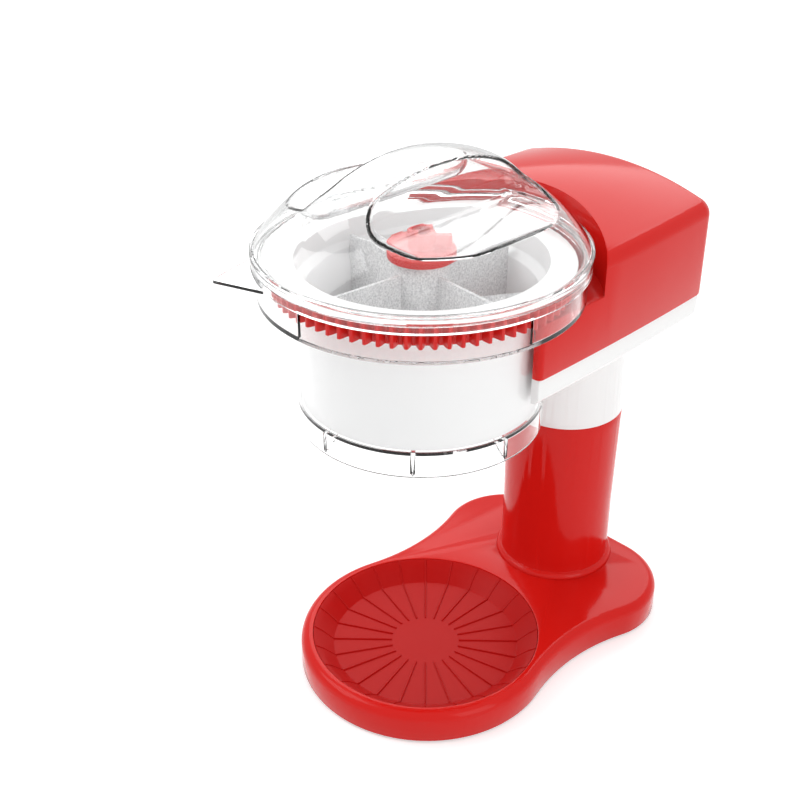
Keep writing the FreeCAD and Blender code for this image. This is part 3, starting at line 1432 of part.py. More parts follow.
# the rocker's side from its pin: out to the rear and up, as shares of its reach
rocker_corners = ((0.4, -0.9), (0.25, 0.0), (0.4, 0.9), (-0.5, 0.7), (-0.5, -0.7))


def make_switch():
    rear = "rear_wall_y"
    frame = box("switch_frame", "switch_width + 2 * switch_rim", "switch_bezel",
                "switch_tall + 2 * switch_rim", "switch_width / -2 - switch_rim", rear,
                "switch_height - switch_tall / 2 - switch_rim")
    body = box("switch_box", "switch_width", "switch_depth + switch_bezel / 2", "switch_tall",
               "switch_width / -2", rear + " - switch_depth", "switch_height - switch_tall / 2")
    room = box("switch_room", "switch_width - 2 * switch_rim", "switch_depth + 2 * switch_bezel",
               "switch_tall - 2 * switch_rim", "switch_width / -2 + switch_rim",
               rear + " - switch_depth / 2", "switch_height - switch_tall / 2 + switch_rim")
    pins = bind(doc.addObject("Part::Cylinder", "switch_pin_hole"), Radius="rocker_pin + running_gap",
                Height="switch_width - switch_rim / 2")
    pins.Placement.Rotation = Rotation(Vector(0, 1, 0), 90)
    put(pins, "switch_rim / 4 - switch_width / 2", "rocker_y", "switch_height")
    kept(cut("switch_solid", fuse("switch_outer", frame, body), fuse("switch_rooms", room, pins)),
         "switch_body")

    reach = sheet.switch_tall / 2 - sheet.switch_rim - sheet.rocker_gap
    width = sheet.switch_width - 2 * sheet.switch_rim - 2 * sheet.rocker_gap
    corners = [(out * reach, up * reach) for out, up in rocker_corners]
    side = [at(-width / 2, out, up) for out, up in corners]
    rocker = Part.Face(Part.makePolygon(side + side[:1])).extrude(at(width, 0, 0))
    pin_length = width + 2 * (sheet.switch_rim - sheet.rest_gap)
    pin = Part.makeCylinder(sheet.rocker_pin, pin_length, at(-pin_length / 2, 0, 0), at(1, 0, 0))
    rocker = rocker.fuse(pin)
    rocker.rotate(at(0, 0, 0), at(1, 0, 0), sheet.rocker_tilt)
    rocker.translate(at(0, sheet.rocker_y, sheet.switch_height))
    shaped("switch_rocker", rocker)


def make_bushing():
    wall = sheet.base_rear_y
    z = sheet.bushing_height
    back = at(0, 1, 0)
    inner = wall - sheet.shell_wall
    plug = Part.makeCylinder(sheet.bushing_radius, sheet.shell_wall, at(0, inner, z), back)
    flange = Part.makeCylinder(sheet.bushing_flange_radius, sheet.bushing_flange, at(0, wall, z), back)
    inside = Part.makeCylinder(sheet.bushing_flange_radius, sheet.bushing_flange, at(0, inner, z), -back)
    bore = Part.makeCylinder(sheet.bushing_bore, 4 * sheet.shell_wall, at(0, inner - sheet.shell_wall, z),
                             back)
    shaped("cord_bushing", plug.fuse(flange).fuse(inside).cut(bore).removeSplitter())


make_base_shell()
make_base_plate()
make_feet()
screws("base_screws", base_screw_spots, "foot_height + foot_sunk",
       "base_plate_thick + base_boss_height / 2", 1)
make_drip_tray()
make_column()
screws("column_screws", column_spots, "base_top - shell_wall", "shell_wall + column_boss_height / 2", 1)
screws("neck_screws", neck_spots, "head_bottom - shell_wall",
       "2 * shell_wall + gear_plate_thick + rest_gap", 1)
make_head_underside()
make_head_cover()
screws("head_screws", head_screw_spots, "head_bottom + screw_head_height", "head_boss_height", 1)
make_hopper()
make_hopper_floor()
make_blade()
make_spindle()
make_drum()
make_vanes()
make_ring_gear()
make_knob()
make_lid()
make_drive()
make_gearbox()
make_motor()
make_switch()
make_bushing()
doc.recompute()

faults = [thing.Name for thing in doc.Objects if {"Invalid", "Error"} & set(thing.State)]
for node in nodes:
    if node.Shape.isNull() or not node.Shape.isValid() or node.Shape.Volume <= 0:
        faults.append(node.Label)
if faults:
    raise RuntimeError("not sound: " + ", ".join(faults))

os.makedirs("parts", exist_ok=True)
for node in nodes:
    node.Shape.exportStep(f"parts/{node.Label}.step")
    print(f"{node.Label}: {len(node.Shape.Solids)} solids, {node.Shape.Volume / 1000:.1f} cm3")
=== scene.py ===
# Countertop ice shaver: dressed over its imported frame, in metres, +Z up, -Y to the front.
# Each piece's dictionary is in millimetres, heights from the ground and reach from the hopper's axis.
import json
import math
import bmesh
import bpy
from mathutils import Matrix, Vector

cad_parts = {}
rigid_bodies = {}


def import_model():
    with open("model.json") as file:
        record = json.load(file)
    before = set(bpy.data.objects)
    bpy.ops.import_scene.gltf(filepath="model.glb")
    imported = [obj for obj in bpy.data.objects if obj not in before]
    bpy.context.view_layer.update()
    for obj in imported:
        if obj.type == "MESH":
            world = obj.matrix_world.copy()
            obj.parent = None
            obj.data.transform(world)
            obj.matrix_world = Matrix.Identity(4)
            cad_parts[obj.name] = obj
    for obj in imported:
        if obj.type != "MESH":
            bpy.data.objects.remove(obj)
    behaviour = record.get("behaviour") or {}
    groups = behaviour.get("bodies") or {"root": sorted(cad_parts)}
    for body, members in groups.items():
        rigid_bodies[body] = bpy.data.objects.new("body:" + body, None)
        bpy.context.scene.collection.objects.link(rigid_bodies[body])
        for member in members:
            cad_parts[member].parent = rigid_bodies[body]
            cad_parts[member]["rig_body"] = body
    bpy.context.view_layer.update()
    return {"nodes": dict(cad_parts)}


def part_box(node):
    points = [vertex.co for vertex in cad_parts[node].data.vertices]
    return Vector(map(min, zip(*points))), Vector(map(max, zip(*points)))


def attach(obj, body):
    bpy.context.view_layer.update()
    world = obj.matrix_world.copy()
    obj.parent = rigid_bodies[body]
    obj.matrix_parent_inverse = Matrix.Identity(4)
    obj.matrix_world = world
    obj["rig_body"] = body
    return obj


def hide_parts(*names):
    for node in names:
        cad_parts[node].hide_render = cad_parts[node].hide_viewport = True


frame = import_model()
nodes = frame["nodes"]
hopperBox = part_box("spindle")
hopperY = (hopperBox[0][1] + hopperBox[1][1]) / 2  # the hopper's axis stands at x = 0 and this y
print("frame loaded, hopper axis at y", round(hopperY, 5))

cameraView = {
    "place": (0.5164, -0.5151, 0.6524),  # measured from the hopper's axis
    "azimuth": 46.164,
    "elevation": 29.973,
    "lens": 55.23,
    "sensor": 36.0,
}
studio = {
    "fillLevel": 0.72,  # what the white surroundings give as a lamp
    "floorLift": 0.42,
    "floorSize": 12,
    "floorDrop": 0.0004,
    "floorGrey": 0.86,
    "panels": [  # name, place, size, power, aim
        ("keyPanel", (-0.9, -0.9, 1.5), (1.1, 1.1), 9.0, (0.0, 0.0, 0.2)),
        ("rearPanel", (-0.75, 0.95, 1.22), (1.7, 0.8), 8.5, (0.0, 0.1, 0.35)),
        ("sidePanel", (1.4, -0.1, 0.8), (0.8, 1.2), 5.0, (0.0, 0.0, 0.2)),
    ],
}


def addCamera(view):
    data = bpy.data.cameras.new("camera")
    data.lens = view["lens"]
    data.sensor_width = view["sensor"]
    data.clip_start = 0.01
    data.clip_end = 20.0
    camera = bpy.data.objects.new("camera", data)
    camera.location = (view["place"][0], view["place"][1] + hopperY, view["place"][2])
    camera.rotation_euler = (math.radians(90 - view["elevation"]), 0, math.radians(view["azimuth"]))
    bpy.context.scene.collection.objects.link(camera)
    bpy.context.scene.camera = camera


def addPanel(name, place, size, power, aim):
    data = bpy.data.lights.new(name, "AREA")
    data.shape = "RECTANGLE"
    data.size, data.size_y = size
    data.energy = power
    panel = bpy.data.objects.new(name, data)
    panel.location = place
    panel.rotation_euler = (Vector(aim) - Vector(place)).to_track_quat("-Z", "Y").to_euler()
    bpy.context.scene.collection.objects.link(panel)


def seenStraight(tree):
    # one for what the camera sees straight, through clear plastic or by gloss, else nought
    path = tree.nodes.new("ShaderNodeLightPath")
    first = tree.nodes.new("ShaderNodeMath")
    second = tree.nodes.new("ShaderNodeMath")
    first.operation = second.operation = "MAXIMUM"
    tree.links.new(path.outputs["Is Camera Ray"], first.inputs[0])
    tree.links.new(path.outputs["Is Transmission Ray"], first.inputs[1])
    tree.links.new(first.outputs[0], second.inputs[0])
    tree.links.new(path.outputs["Is Glossy Ray"], second.inputs[1])
    return second.outputs[0]


def addFloor(studio):
    bpy.ops.mesh.primitive_plane_add(size=studio["floorSize"], location=(0, 0, -studio["floorDrop"]))
    floor = bpy.context.object
    floor.name = "studioFloor"
    material = bpy.data.materials.new("studioFloor")
    material.use_nodes = True
    tree = material.node_tree
    shader = tree.nodes["Principled BSDF"]
    grey = studio["floorGrey"]
    shader.inputs["Base Color"].default_value = (grey, grey, grey, 1)
    shader.inputs["Roughness"].default_value = 0.6
    shader.inputs["Specular IOR Level"].default_value = 0.25
    glow = tree.nodes.new("ShaderNodeEmission")
    glow.inputs["Color"].default_value = (1, 1, 1, 1)
    level = tree.nodes.new("ShaderNodeMath")
    level.operation = "MULTIPLY"
    level.inputs[1].default_value = studio["floorLift"]
    add = tree.nodes.new("ShaderNodeAddShader")
    tree.links.new(seenStraight(tree), level.inputs[0])
    tree.links.new(level.outputs[0], glow.inputs["Strength"])
    tree.links.new(shader.outputs[0], add.inputs[0])
    tree.links.new(glow.outputs[0], add.inputs[1])
    tree.links.new(add.outputs[0], tree.nodes["Material Output"].inputs["Surface"])
    floor.data.materials.append(material)


def setWorld(studio):
    # white where it is seen, dimmer as a lamp
    world = bpy.data.worlds.new("studio")
    bpy.context.scene.world = world
    world.use_nodes = True
    tree = world.node_tree
    tree.nodes.clear()
    out = tree.nodes.new("ShaderNodeOutputWorld")
    mix = tree.nodes.new("ShaderNodeMixShader")
    dim = tree.nodes.new("ShaderNodeBackground")
    dim.inputs["Color"].default_value = (1, 1, 1, 1)
    dim.inputs["Strength"].default_value = studio["fillLevel"]
    seen = tree.nodes.new("ShaderNodeBackground")
    seen.inputs["Color"].default_value = (1, 1, 1, 1)
    seen.inputs["Strength"].default_value = 1.0
    tree.links.new(seenStraight(tree), mix.inputs["Fac"])
    tree.links.new(dim.outputs[0], mix.inputs[1])
    tree.links.new(seen.outputs[0], mix.inputs[2])
    tree.links.new(mix.outputs[0], out.inputs["Surface"])


addCamera(cameraView)
setWorld(studio)
addFloor(studio)
for name, place, size, power, aim in studio["panels"]:
    addPanel(name, place, size, power, aim)
bpy.context.scene.view_settings.view_transform = "Standard"
print("camera, floor and lights made")


surfaceOutputs = [
    ("Color", "NodeSocketColor"), ("Roughness", "NodeSocketFloat"), ("Normal", "NodeSocketVector"),
]


def newGroup(name, inputs, outputs):
    group = bpy.data.node_groups.new(name, "ShaderNodeTree")
    for label, kind, value in inputs:
        socket = group.interface.new_socket(name=label, in_out="INPUT", socket_type=kind)
        socket.default_value = value
    for label, kind in outputs:
        group.interface.new_socket(name=label, in_out="OUTPUT", socket_type=kind)
    start = group.nodes.new("NodeGroupInput")
    end = group.nodes.new("NodeGroupOutput")
    return group, start, end


def noiseNode(tree, coordinates, detail=2.0):
    noise = tree.nodes.new("ShaderNodeTexNoise")
    noise.inputs["Detail"].default_value = detail
    tree.links.new(coordinates.outputs["Object"], noise.inputs["Vector"])
    return noise


def rangeNode(tree, source, low, high, toLow, toHigh):
    ranged = tree.nodes.new("ShaderNodeMapRange")
    for label, value in (("From Min", low), ("From Max", high), ("To Min", toLow), ("To Max", toHigh)):
        ranged.inputs[label].default_value = value
    tree.links.new(source, ranged.inputs["Value"])
    return ranged


def mathNode(tree, operation, first, second):
    node = tree.nodes.new("ShaderNodeMath")
    node.operation = operation
    for socket, value in zip(node.inputs, (first, second)):
        if hasattr(value, "links"):
            tree.links.new(value, socket)
        else:
            socket.default_value = value
    return node.outputs[0]


def buildMouldedSkin():
    # moulded plastic: slow waviness, fine grain, and faint handling marks in the gloss
    group, start, end = newGroup(
        "mouldedSkin",
        [("Color", "NodeSocketColor", (0.8, 0.8, 0.8, 1)), ("Shade", "NodeSocketFloat", 0.06),
         ("Roughness", "NodeSocketFloat", 0.2), ("Marks", "NodeSocketFloat", 0.05),
         ("Grain Scale", "NodeSocketFloat", 2500.0), ("Grain Depth", "NodeSocketFloat", 0.02),
         ("Wave Depth", "NodeSocketFloat", 0.02)],
        surfaceOutputs,
    )
    place = group.nodes.new("ShaderNodeTexCoord")
    slow = noiseNode(group, place)
    slow.inputs["Scale"].default_value = 14.0
    marks = noiseNode(group, place, 4.0)
    marks.inputs["Scale"].default_value = 60.0
    grain = noiseNode(group, place, 1.0)
    group.links.new(start.outputs["Grain Scale"], grain.inputs["Scale"])
    hue = group.nodes.new("ShaderNodeHueSaturation")
    lean = mathNode(group, "SUBTRACT", slow.outputs["Fac"], 0.5)
    lean = mathNode(group, "MULTIPLY", lean, start.outputs["Shade"])
    group.links.new(mathNode(group, "ADD", lean, 1.0), hue.inputs["Value"])
    group.links.new(start.outputs["Color"], hue.inputs["Color"])
    group.links.new(hue.outputs["Color"], end.inputs["Color"])
    rub = mathNode(group, "SUBTRACT", marks.outputs["Fac"], 0.5)
    rub = mathNode(group, "MULTIPLY", rub, start.outputs["Marks"])
    group.links.new(mathNode(group, "ADD", rub, start.outputs["Roughness"]), end.inputs["Roughness"])
    wave = group.nodes.new("ShaderNodeBump")
    wave.inputs["Distance"].default_value = 0.004
    group.links.new(slow.outputs["Fac"], wave.inputs["Height"])
    group.links.new(start.outputs["Wave Depth"], wave.inputs["Strength"])
    fine = group.nodes.new("ShaderNodeBump")
    fine.inputs["Distance"].default_value = 0.0002
    group.links.new(grain.outputs["Fac"], fine.inputs["Height"])
    group.links.new(start.outputs["Grain Depth"], fine.inputs["Strength"])
    group.links.new(wave.outputs["Normal"], fine.inputs["Normal"])
    group.links.new(fine.outputs["Normal"], end.inputs["Normal"])
    return group


def buildFrost():
    # ice-scratched, sparkling grain, as on the drum's vanes and ramps
    group, start, end = newGroup(
        "frost",
        [("Light", "NodeSocketColor", (0.8, 0.8, 0.8, 1)), ("Dark", "NodeSocketColor", (0.5, 0.5, 0.5, 1)),
         ("Grain Scale", "NodeSocketFloat", 900.0), ("Depth", "NodeSocketFloat", 0.3)],
        surfaceOutputs,
    )
    place = group.nodes.new("ShaderNodeTexCoord")
    grain = noiseNode(group, place, 3.0)
    group.links.new(start.outputs["Grain Scale"], grain.inputs["Scale"])
    patch = noiseNode(group, place, 2.0)
    patch.inputs["Scale"].default_value = 30.0
    spread = rangeNode(group, grain.outputs["Fac"], 0.32, 0.68, 0.0, 1.0)
    share = mathNode(group, "MULTIPLY", spread.outputs[0], 0.75)
    share = mathNode(group, "ADD", share, mathNode(group, "MULTIPLY", patch.outputs["Fac"], 0.3))
    mix = group.nodes.new("ShaderNodeMix")
    mix.data_type = "RGBA"
    group.links.new(share, mix.inputs["Factor"])
    group.links.new(start.outputs["Dark"], mix.inputs["A"])
    group.links.new(start.outputs["Light"], mix.inputs["B"])
    group.links.new(mix.outputs["Result"], end.inputs["Color"])
    rough = rangeNode(group, grain.outputs["Fac"], 0.3, 0.7, 0.62, 0.42)
    group.links.new(rough.outputs[0], end.inputs["Roughness"])
    bump = group.nodes.new("ShaderNodeBump")
    bump.inputs["Distance"].default_value = 0.0006
    group.links.new(grain.outputs["Fac"], bump.inputs["Height"])
    group.links.new(start.outputs["Depth"], bump.inputs["Strength"])
    group.links.new(bump.outputs["Normal"], end.inputs["Normal"])
    return group


def buildDrawnMetal():
    # rolled or turned metal: fine streaks along one axis and a little tarnish
    group, start, end = newGroup(
        "drawnMetal",
        [("Color", "NodeSocketColor", (0.6, 0.6, 0.6, 1)), ("Roughness", "NodeSocketFloat", 0.3),
         ("Streak Scale", "NodeSocketFloat", 900.0), ("Depth", "NodeSocketFloat", 0.05)],
        surfaceOutputs,
    )
    place = group.nodes.new("ShaderNodeTexCoord")
    stretch = group.nodes.new("ShaderNodeMapping")
    stretch.inputs["Scale"].default_value = (1.0, 1.0, 0.08)
    group.links.new(place.outputs["Object"], stretch.inputs["Vector"])
    streak = group.nodes.new("ShaderNodeTexNoise")
    streak.inputs["Detail"].default_value = 3.0
    group.links.new(stretch.outputs["Vector"], streak.inputs["Vector"])
    group.links.new(start.outputs["Streak Scale"], streak.inputs["Scale"])
    tarnish = noiseNode(group, place, 3.0)
    tarnish.inputs["Scale"].default_value = 90.0
    hue = group.nodes.new("ShaderNodeHueSaturation")
    tone = rangeNode(group, tarnish.outputs["Fac"], 0.3, 0.7, 0.86, 1.06)
    group.links.new(tone.outputs[0], hue.inputs["Value"])
    group.links.new(start.outputs["Color"], hue.inputs["Color"])
    group.links.new(hue.outputs["Color"], end.inputs["Color"])
    rub = mathNode(group, "MULTIPLY", mathNode(group, "SUBTRACT", streak.outputs["Fac"], 0.5), 0.22)
    group.links.new(mathNode(group, "ADD", rub, start.outputs["Roughness"]), end.inputs["Roughness"])
    bump = group.nodes.new("ShaderNodeBump")
    bump.inputs["Distance"].default_value = 0.0003
    group.links.new(streak.outputs["Fac"], bump.inputs["Height"])
    group.links.new(start.outputs["Depth"], bump.inputs["Strength"])
    group.links.new(bump.outputs["Normal"], end.inputs["Normal"])
    return group


mouldedSkin = buildMouldedSkin()
frost = buildFrost()
drawnMetal = buildDrawnMetal()


def groupMaterial(name, group, values, shaderValues):
    # a Principled material whose colour, roughness and normal come from one of the groups
    material = bpy.data.materials.new(name)
    material.use_nodes = True
    tree = material.node_tree
    shader = tree.nodes["Principled BSDF"]
    effect = tree.nodes.new("ShaderNodeGroup")
    effect.node_tree = group
    for label, value in values.items():
        effect.inputs[label].default_value = value
    tree.links.new(effect.outputs["Color"], shader.inputs["Base Color"])
    tree.links.new(effect.outputs["Roughness"], shader.inputs["Roughness"])
    tree.links.new(effect.outputs["Normal"], shader.inputs["Normal"])
    for label, value in shaderValues.items():
        shader.inputs[label].default_value = value
    return material


def plastic(name, color, roughness, shade=0.06, marks=0.05, grain=0.02, scale=2500.0, gloss=0.5):
    values = {"Color": (*color, 1), "Shade": shade, "Roughness": roughness, "Marks": marks,
              "Grain Scale": scale, "Grain Depth": grain}
    return groupMaterial(name, mouldedSkin, values, {"Specular IOR Level": gloss, "IOR": 1.5})


def metal(name, color, roughness, scale=900.0, depth=0.05):
    values = {"Color": (*color, 1), "Roughness": roughness, "Streak Scale": scale, "Depth": depth}
    return groupMaterial(name, drawnMetal, values, {"Metallic": 1.0})


def clearPlastic(name, values):
    # polished clear plastic that lets the light in; its colour is painted dark where it is seen edge on, a
    # painted shade for the dark rims of clear walls
    material = bpy.data.materials.new(name)
    material.use_nodes = True
    tree = material.node_tree
    shader = tree.nodes["Principled BSDF"]
    shader.inputs["Transmission Weight"].default_value = 1.0
    shader.inputs["IOR"].default_value = values["ior"]
    shader.inputs["Metallic"].default_value = 0.0
    place = tree.nodes.new("ShaderNodeTexCoord")
    marks = noiseNode(tree, place, 3.0)
    marks.inputs["Scale"].default_value = 45.0
    rough = rangeNode(tree, marks.outputs["Fac"], 0.3, 0.7, values["rough"], values["rough"] + 0.02)
    tree.links.new(rough.outputs[0], shader.inputs["Roughness"])
    slow = noiseNode(tree, place, 1.0)
    slow.inputs["Scale"].default_value = 16.0
    bump = tree.nodes.new("ShaderNodeBump")
    bump.inputs["Strength"].default_value = values["wave"]
    bump.inputs["Distance"].default_value = 0.003
    tree.links.new(slow.outputs["Fac"], bump.inputs["Height"])
    tree.links.new(bump.outputs["Normal"], shader.inputs["Normal"])
    # painted shade: the base colour turns from the plastic's colour to a dark grey as the surface is seen
    # edge on
    facing = tree.nodes.new("ShaderNodeLayerWeight")
    facing.inputs["Blend"].default_value = 0.5
    ramp = tree.nodes.new("ShaderNodeValToRGB")
    ramp.color_ramp.elements[0].position = values["edgeStart"]
    ramp.color_ramp.elements[0].color = (*values["color"], 1)
    ramp.color_ramp.elements[1].position = values["edgeEnd"]
    ramp.color_ramp.elements[1].color = (*values["paintedEdgeShade"], 1)
    tree.links.new(facing.outputs["Facing"], ramp.inputs["Fac"])
    tree.links.new(ramp.outputs["Color"], shader.inputs["Base Color"])
    path = tree.nodes.new("ShaderNodeLightPath")
    through = tree.nodes.new("ShaderNodeMath")
    through.operation = "MAXIMUM"
    tree.links.new(path.outputs["Is Shadow Ray"], through.inputs[0])
    tree.links.new(path.outputs["Is Diffuse Ray"], through.inputs[1])
    shadow = tree.nodes.new("ShaderNodeBsdfTransparent")
    shadow.inputs["Color"].default_value = shadowTint
    mix = tree.nodes.new("ShaderNodeMixShader")
    tree.links.new(through.outputs[0], mix.inputs["Fac"])
    tree.links.new(shader.outputs[0], mix.inputs[1])
    tree.links.new(shadow.outputs[0], mix.inputs[2])
    tree.links.new(mix.outputs[0], tree.nodes["Material Output"].inputs["Surface"])
    return material


shadowTint = (0.985, 0.985, 0.985, 1)
clearLid = {
    "ior": 1.45, "rough": 0.0, "wave": 0.03, "color": (0.985, 0.99, 0.99),
    "edgeStart": 0.72, "edgeEnd": 0.94, "paintedEdgeShade": (0.04, 0.04, 0.04),
}
clearBowl = {
    "ior": 1.42, "rough": 0.0, "wave": 0.02, "color": (0.985, 0.99, 0.99),
    "edgeStart": 0.86, "edgeEnd": 0.99, "paintedEdgeShade": (0.20, 0.20, 0.20),
}
clearPaintedShade = {  # painted shade: near-black clear plastic for chosen edge faces, in place of the dark lines and shadow gaps seen there
    "ior": 1.45, "rough": 0.05, "wave": 0.02, "color": (0.05, 0.05, 0.05),
    "edgeStart": 0.3, "edgeEnd": 0.9, "paintedEdgeShade": (0.02, 0.02, 0.02),
}

frostedVane = {
    "Light": (1.0, 1.0, 1.0, 1), "Dark": (0.48, 0.48, 0.49, 1), "Grain Scale": 850.0, "Depth": 0.5,
}
finishes = {
    "redGloss": plastic("redGloss", (0.66, 0.010, 0.007), 0.12, gloss=0.18),
    "redTray": plastic("redTray", (0.47, 0.007, 0.006), 0.34, gloss=0.09),
    "redGear": plastic("redGear", (0.66, 0.016, 0.013), 0.28, grain=0.05, gloss=0.3),
    "whiteGloss": plastic("whiteGloss", (0.92, 0.92, 0.915), 0.16, shade=0.03),
    "whiteDrum": plastic("whiteDrum", (0.95, 0.95, 0.95), 0.25, shade=0.02),
    "greyNylon": plastic("greyNylon", (0.62, 0.61, 0.57), 0.42, grain=0.08),
    "blackPlastic": plastic("blackPlastic", (0.016, 0.016, 0.017), 0.45, grain=0.35, scale=1800.0),
    "rubber": plastic("rubber", (0.022, 0.022, 0.022), 0.75, marks=0.15, grain=0.5, scale=1200.0),
    "frosted": groupMaterial("frosted", frost, frostedVane, {"IOR": 1.45}),
    "zincSteel": metal("zincSteel", (0.62, 0.62, 0.63), 0.3),
    "bladeSteel": metal("bladeSteel", (0.7, 0.7, 0.71), 0.16, scale=1600.0, depth=0.03),
    "brass": metal("brass", (0.78, 0.56, 0.24), 0.28),
    "clearLid": clearPlastic("clearLid", clearLid),
    "clearBowl": clearPlastic("clearBowl", clearBowl),
    "clearPaintedShade": clearPlastic("clearPaintedShade", clearPaintedShade),
}

finishNodes = {
    "redGloss": ("base_shell", "column_sleeve", "head_cover"),
    "redTray": ("drip_tray",),
    "redGear": ("ring_gear", "locking_knob", "drive_pinion"),
    "whiteGloss": ("column_neck", "head_underside"),
    "whiteDrum": ("drum", "drum_rim"),
    "frosted": ("drum_vanes",),
    "clearBowl": ("hopper", "hopper_ledge", "hopper_collar", "pull_tab", "hopper_floor"),
    "clearLid": ("lid",),
    "greyNylon": ("thrust_washer", "shaft_gear", "idler_gear"),
    "blackPlastic": ("base_plate", "motor_field", "switch_body", "switch_rocker", "cord_bushing"),
    "rubber": ("rubber_feet", "shaft_seal"),
    "bladeSteel": ("ice_blade", "spindle"),
    "brass": ("motor_pinion", "shaft_bushes"),
}
nodeFinish = {name: finish for finish, names in finishNodes.items() for name in names}
for name, node in nodes.items():
    node.data.materials.clear()
    node.data.materials.append(finishes[nodeFinish.get(name, "zincSteel")])
print("materials placed on", len(nodes), "nodes")

mm = 0.001


def restart():
    # back to object mode with nothing selected
    if bpy.context.object and bpy.context.object.mode != "OBJECT":
        bpy.ops.object.mode_set(mode="OBJECT")
    bpy.ops.object.select_all(action="DESELECT")


def takeUp(piece):
    restart()
    bpy.context.view_layer.objects.active = piece
    piece.select_set(True)


def started(name, add, **settings):
    # a primitive at its size and place, its origin moved to the scene's
    restart()
    add(**settings)
    piece = bpy.context.object
    piece.name = name
    bpy.ops.object.transform_apply(location=True, rotation=True, scale=True)
    return piece


def applied(piece, kind, **settings):
    step = piece.modifiers.new(kind.lower(), kind)
    for label, value in settings.items():
        setattr(step, label, value)
    takeUp(piece)
    bpy.ops.object.modifier_apply(modifier=step.name)
    return piece


def combined(piece, operation, *tools):
    # joins on or cuts away other closed pieces, which are used up
    for tool in tools:
        applied(piece, "BOOLEAN", operation=operation, solver="EXACT", object=tool)
        bpy.data.objects.remove(tool)
    return piece


def softened(piece, width, segments=2, angle=30, clamp=False):
    return applied(piece, "BEVEL", width=width * mm, segments=segments, limit_method="ANGLE",
                   angle_limit=math.radians(angle), use_clamp_overlap=clamp)


tightAngle = 20  # under a bevel's own steps, so that clear walls keep their straight normals


def smoothed(piece, angle=32):
    takeUp(piece)
    bpy.ops.object.shade_smooth_by_angle(angle=math.radians(angle))
    return piece


def joined(piece, *others):
    takeUp(piece)
    for other in others:
        other.select_set(True)
    bpy.ops.object.join()
    return piece


def pick(kind, test):
    # in edit mode, selects the faces, edges or points whose middle passes the test
    bpy.ops.mesh.select_mode(type=kind)
    bpy.ops.mesh.select_all(action="DESELECT")
    shape = bmesh.from_edit_mesh(bpy.context.object.data)
    if kind == "FACE":
        for face in shape.faces:
            face.select_set(test(face.calc_center_median()))
    elif kind == "EDGE":
        for edge in shape.edges:
            edge.select_set(test((edge.verts[0].co + edge.verts[1].co) / 2))
    else:
        for point in shape.verts:
            point.select_set(test(point.co))
    shape.select_flush_mode()
    bmesh.update_edit_mesh(bpy.context.object.data)


def reach(place):
    # how far a place lies from the hopper's axis, in millimetres
    return math.hypot(place.x, place.y - hopperY) / mm


def turnedPiece(name, profile, sides=180, centreY=0.0):
    # a ring of points is drawn along the profile, one extrude for each corner, and closed on itself
    middle = (0, hopperY + centreY * mm, 0)
    radius, height = profile[0]
    piece = started(name, bpy.ops.mesh.primitive_circle_add, vertices=sides, radius=radius * mm,
                    location=(0, middle[1], height * mm))
    bpy.ops.object.mode_set(mode="EDIT")
    bpy.ops.mesh.select_all(action="SELECT")
    for nextRadius, nextHeight in profile[1:] + profile[:1]:
        rise = (0, 0, (nextHeight - height) * mm)
        bpy.ops.mesh.extrude_region_move(TRANSFORM_OT_translate={"value": rise})
        grow = nextRadius / radius
        bpy.ops.transform.resize(value=(grow, grow, 1), center_override=middle)
        radius, height = nextRadius, nextHeight
    bpy.ops.mesh.select_all(action="SELECT")
    bpy.ops.mesh.remove_doubles(threshold=0.000005)
    bpy.ops.mesh.normals_make_consistent(inside=False)
    bpy.ops.object.mode_set(mode="OBJECT")
    return piece


def turnedCopies(piece, count, first=0.0, centreY=0.0):
    # the finished piece copied round an axis, each copy with its own mesh
    copies = []
    for number in range(count):
        turn = piece.copy()
        turn.data = piece.data.copy()
        turn.data.transform(aboutAxis(first + 360 * number / count, centreY))
        bpy.context.scene.collection.objects.link(turn)
        copies.append(turn)
    bpy.data.objects.remove(piece)
    return copies


def aboutAxis(angle, centreY=0.0):
    middle = Vector((0, hopperY + centreY * mm, 0))
    turn = Matrix.Rotation(math.radians(angle), 4, "Z")
    return Matrix.Translation(middle) @ turn @ Matrix.Translation(-middle)


def fitted(piece, finish, slotName, *replaced):
    # the material, the body and the nodes that a finished piece stands for; slotName is not used
    piece.data.materials.clear()
    piece.data.materials.append(finishes[finish])
    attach(piece, nodes[replaced[0]]["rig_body"])
    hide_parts(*replaced)
    return piece


def edged(piece, finish, test):
    # gives the faces whose middle passes the test a second finish
    piece.data.materials.append(finishes[finish])
    for face in piece.data.polygons:
        if test(face.center, face.normal):
            face.material_index = len(piece.data.materials) - 1
    return piece


def dressedCopy(nodeName, pieceName, width, segments=2):
    # a node's mesh copied, merged and given soft edges
    restart()
    piece = nodes[nodeName].copy()
    piece.data = nodes[nodeName].data.copy()
    for label in list(piece.keys()):
        del piece[label]
    piece.parent = None
    piece.name = pieceName
    bpy.context.scene.collection.objects.link(piece)
    takeUp(piece)
    bpy.ops.mesh.customdata_custom_splitnormals_clear()
    bpy.ops.object.mode_set(mode="EDIT")
    bpy.ops.mesh.select_all(action="SELECT")
    bpy.ops.mesh.remove_doubles(threshold=0.000003)
    bpy.ops.mesh.dissolve_limited(angle_limit=math.radians(0.2))
    bpy.ops.object.mode_set(mode="OBJECT")
    softened(piece, width, segments)
    return smoothed(piece)


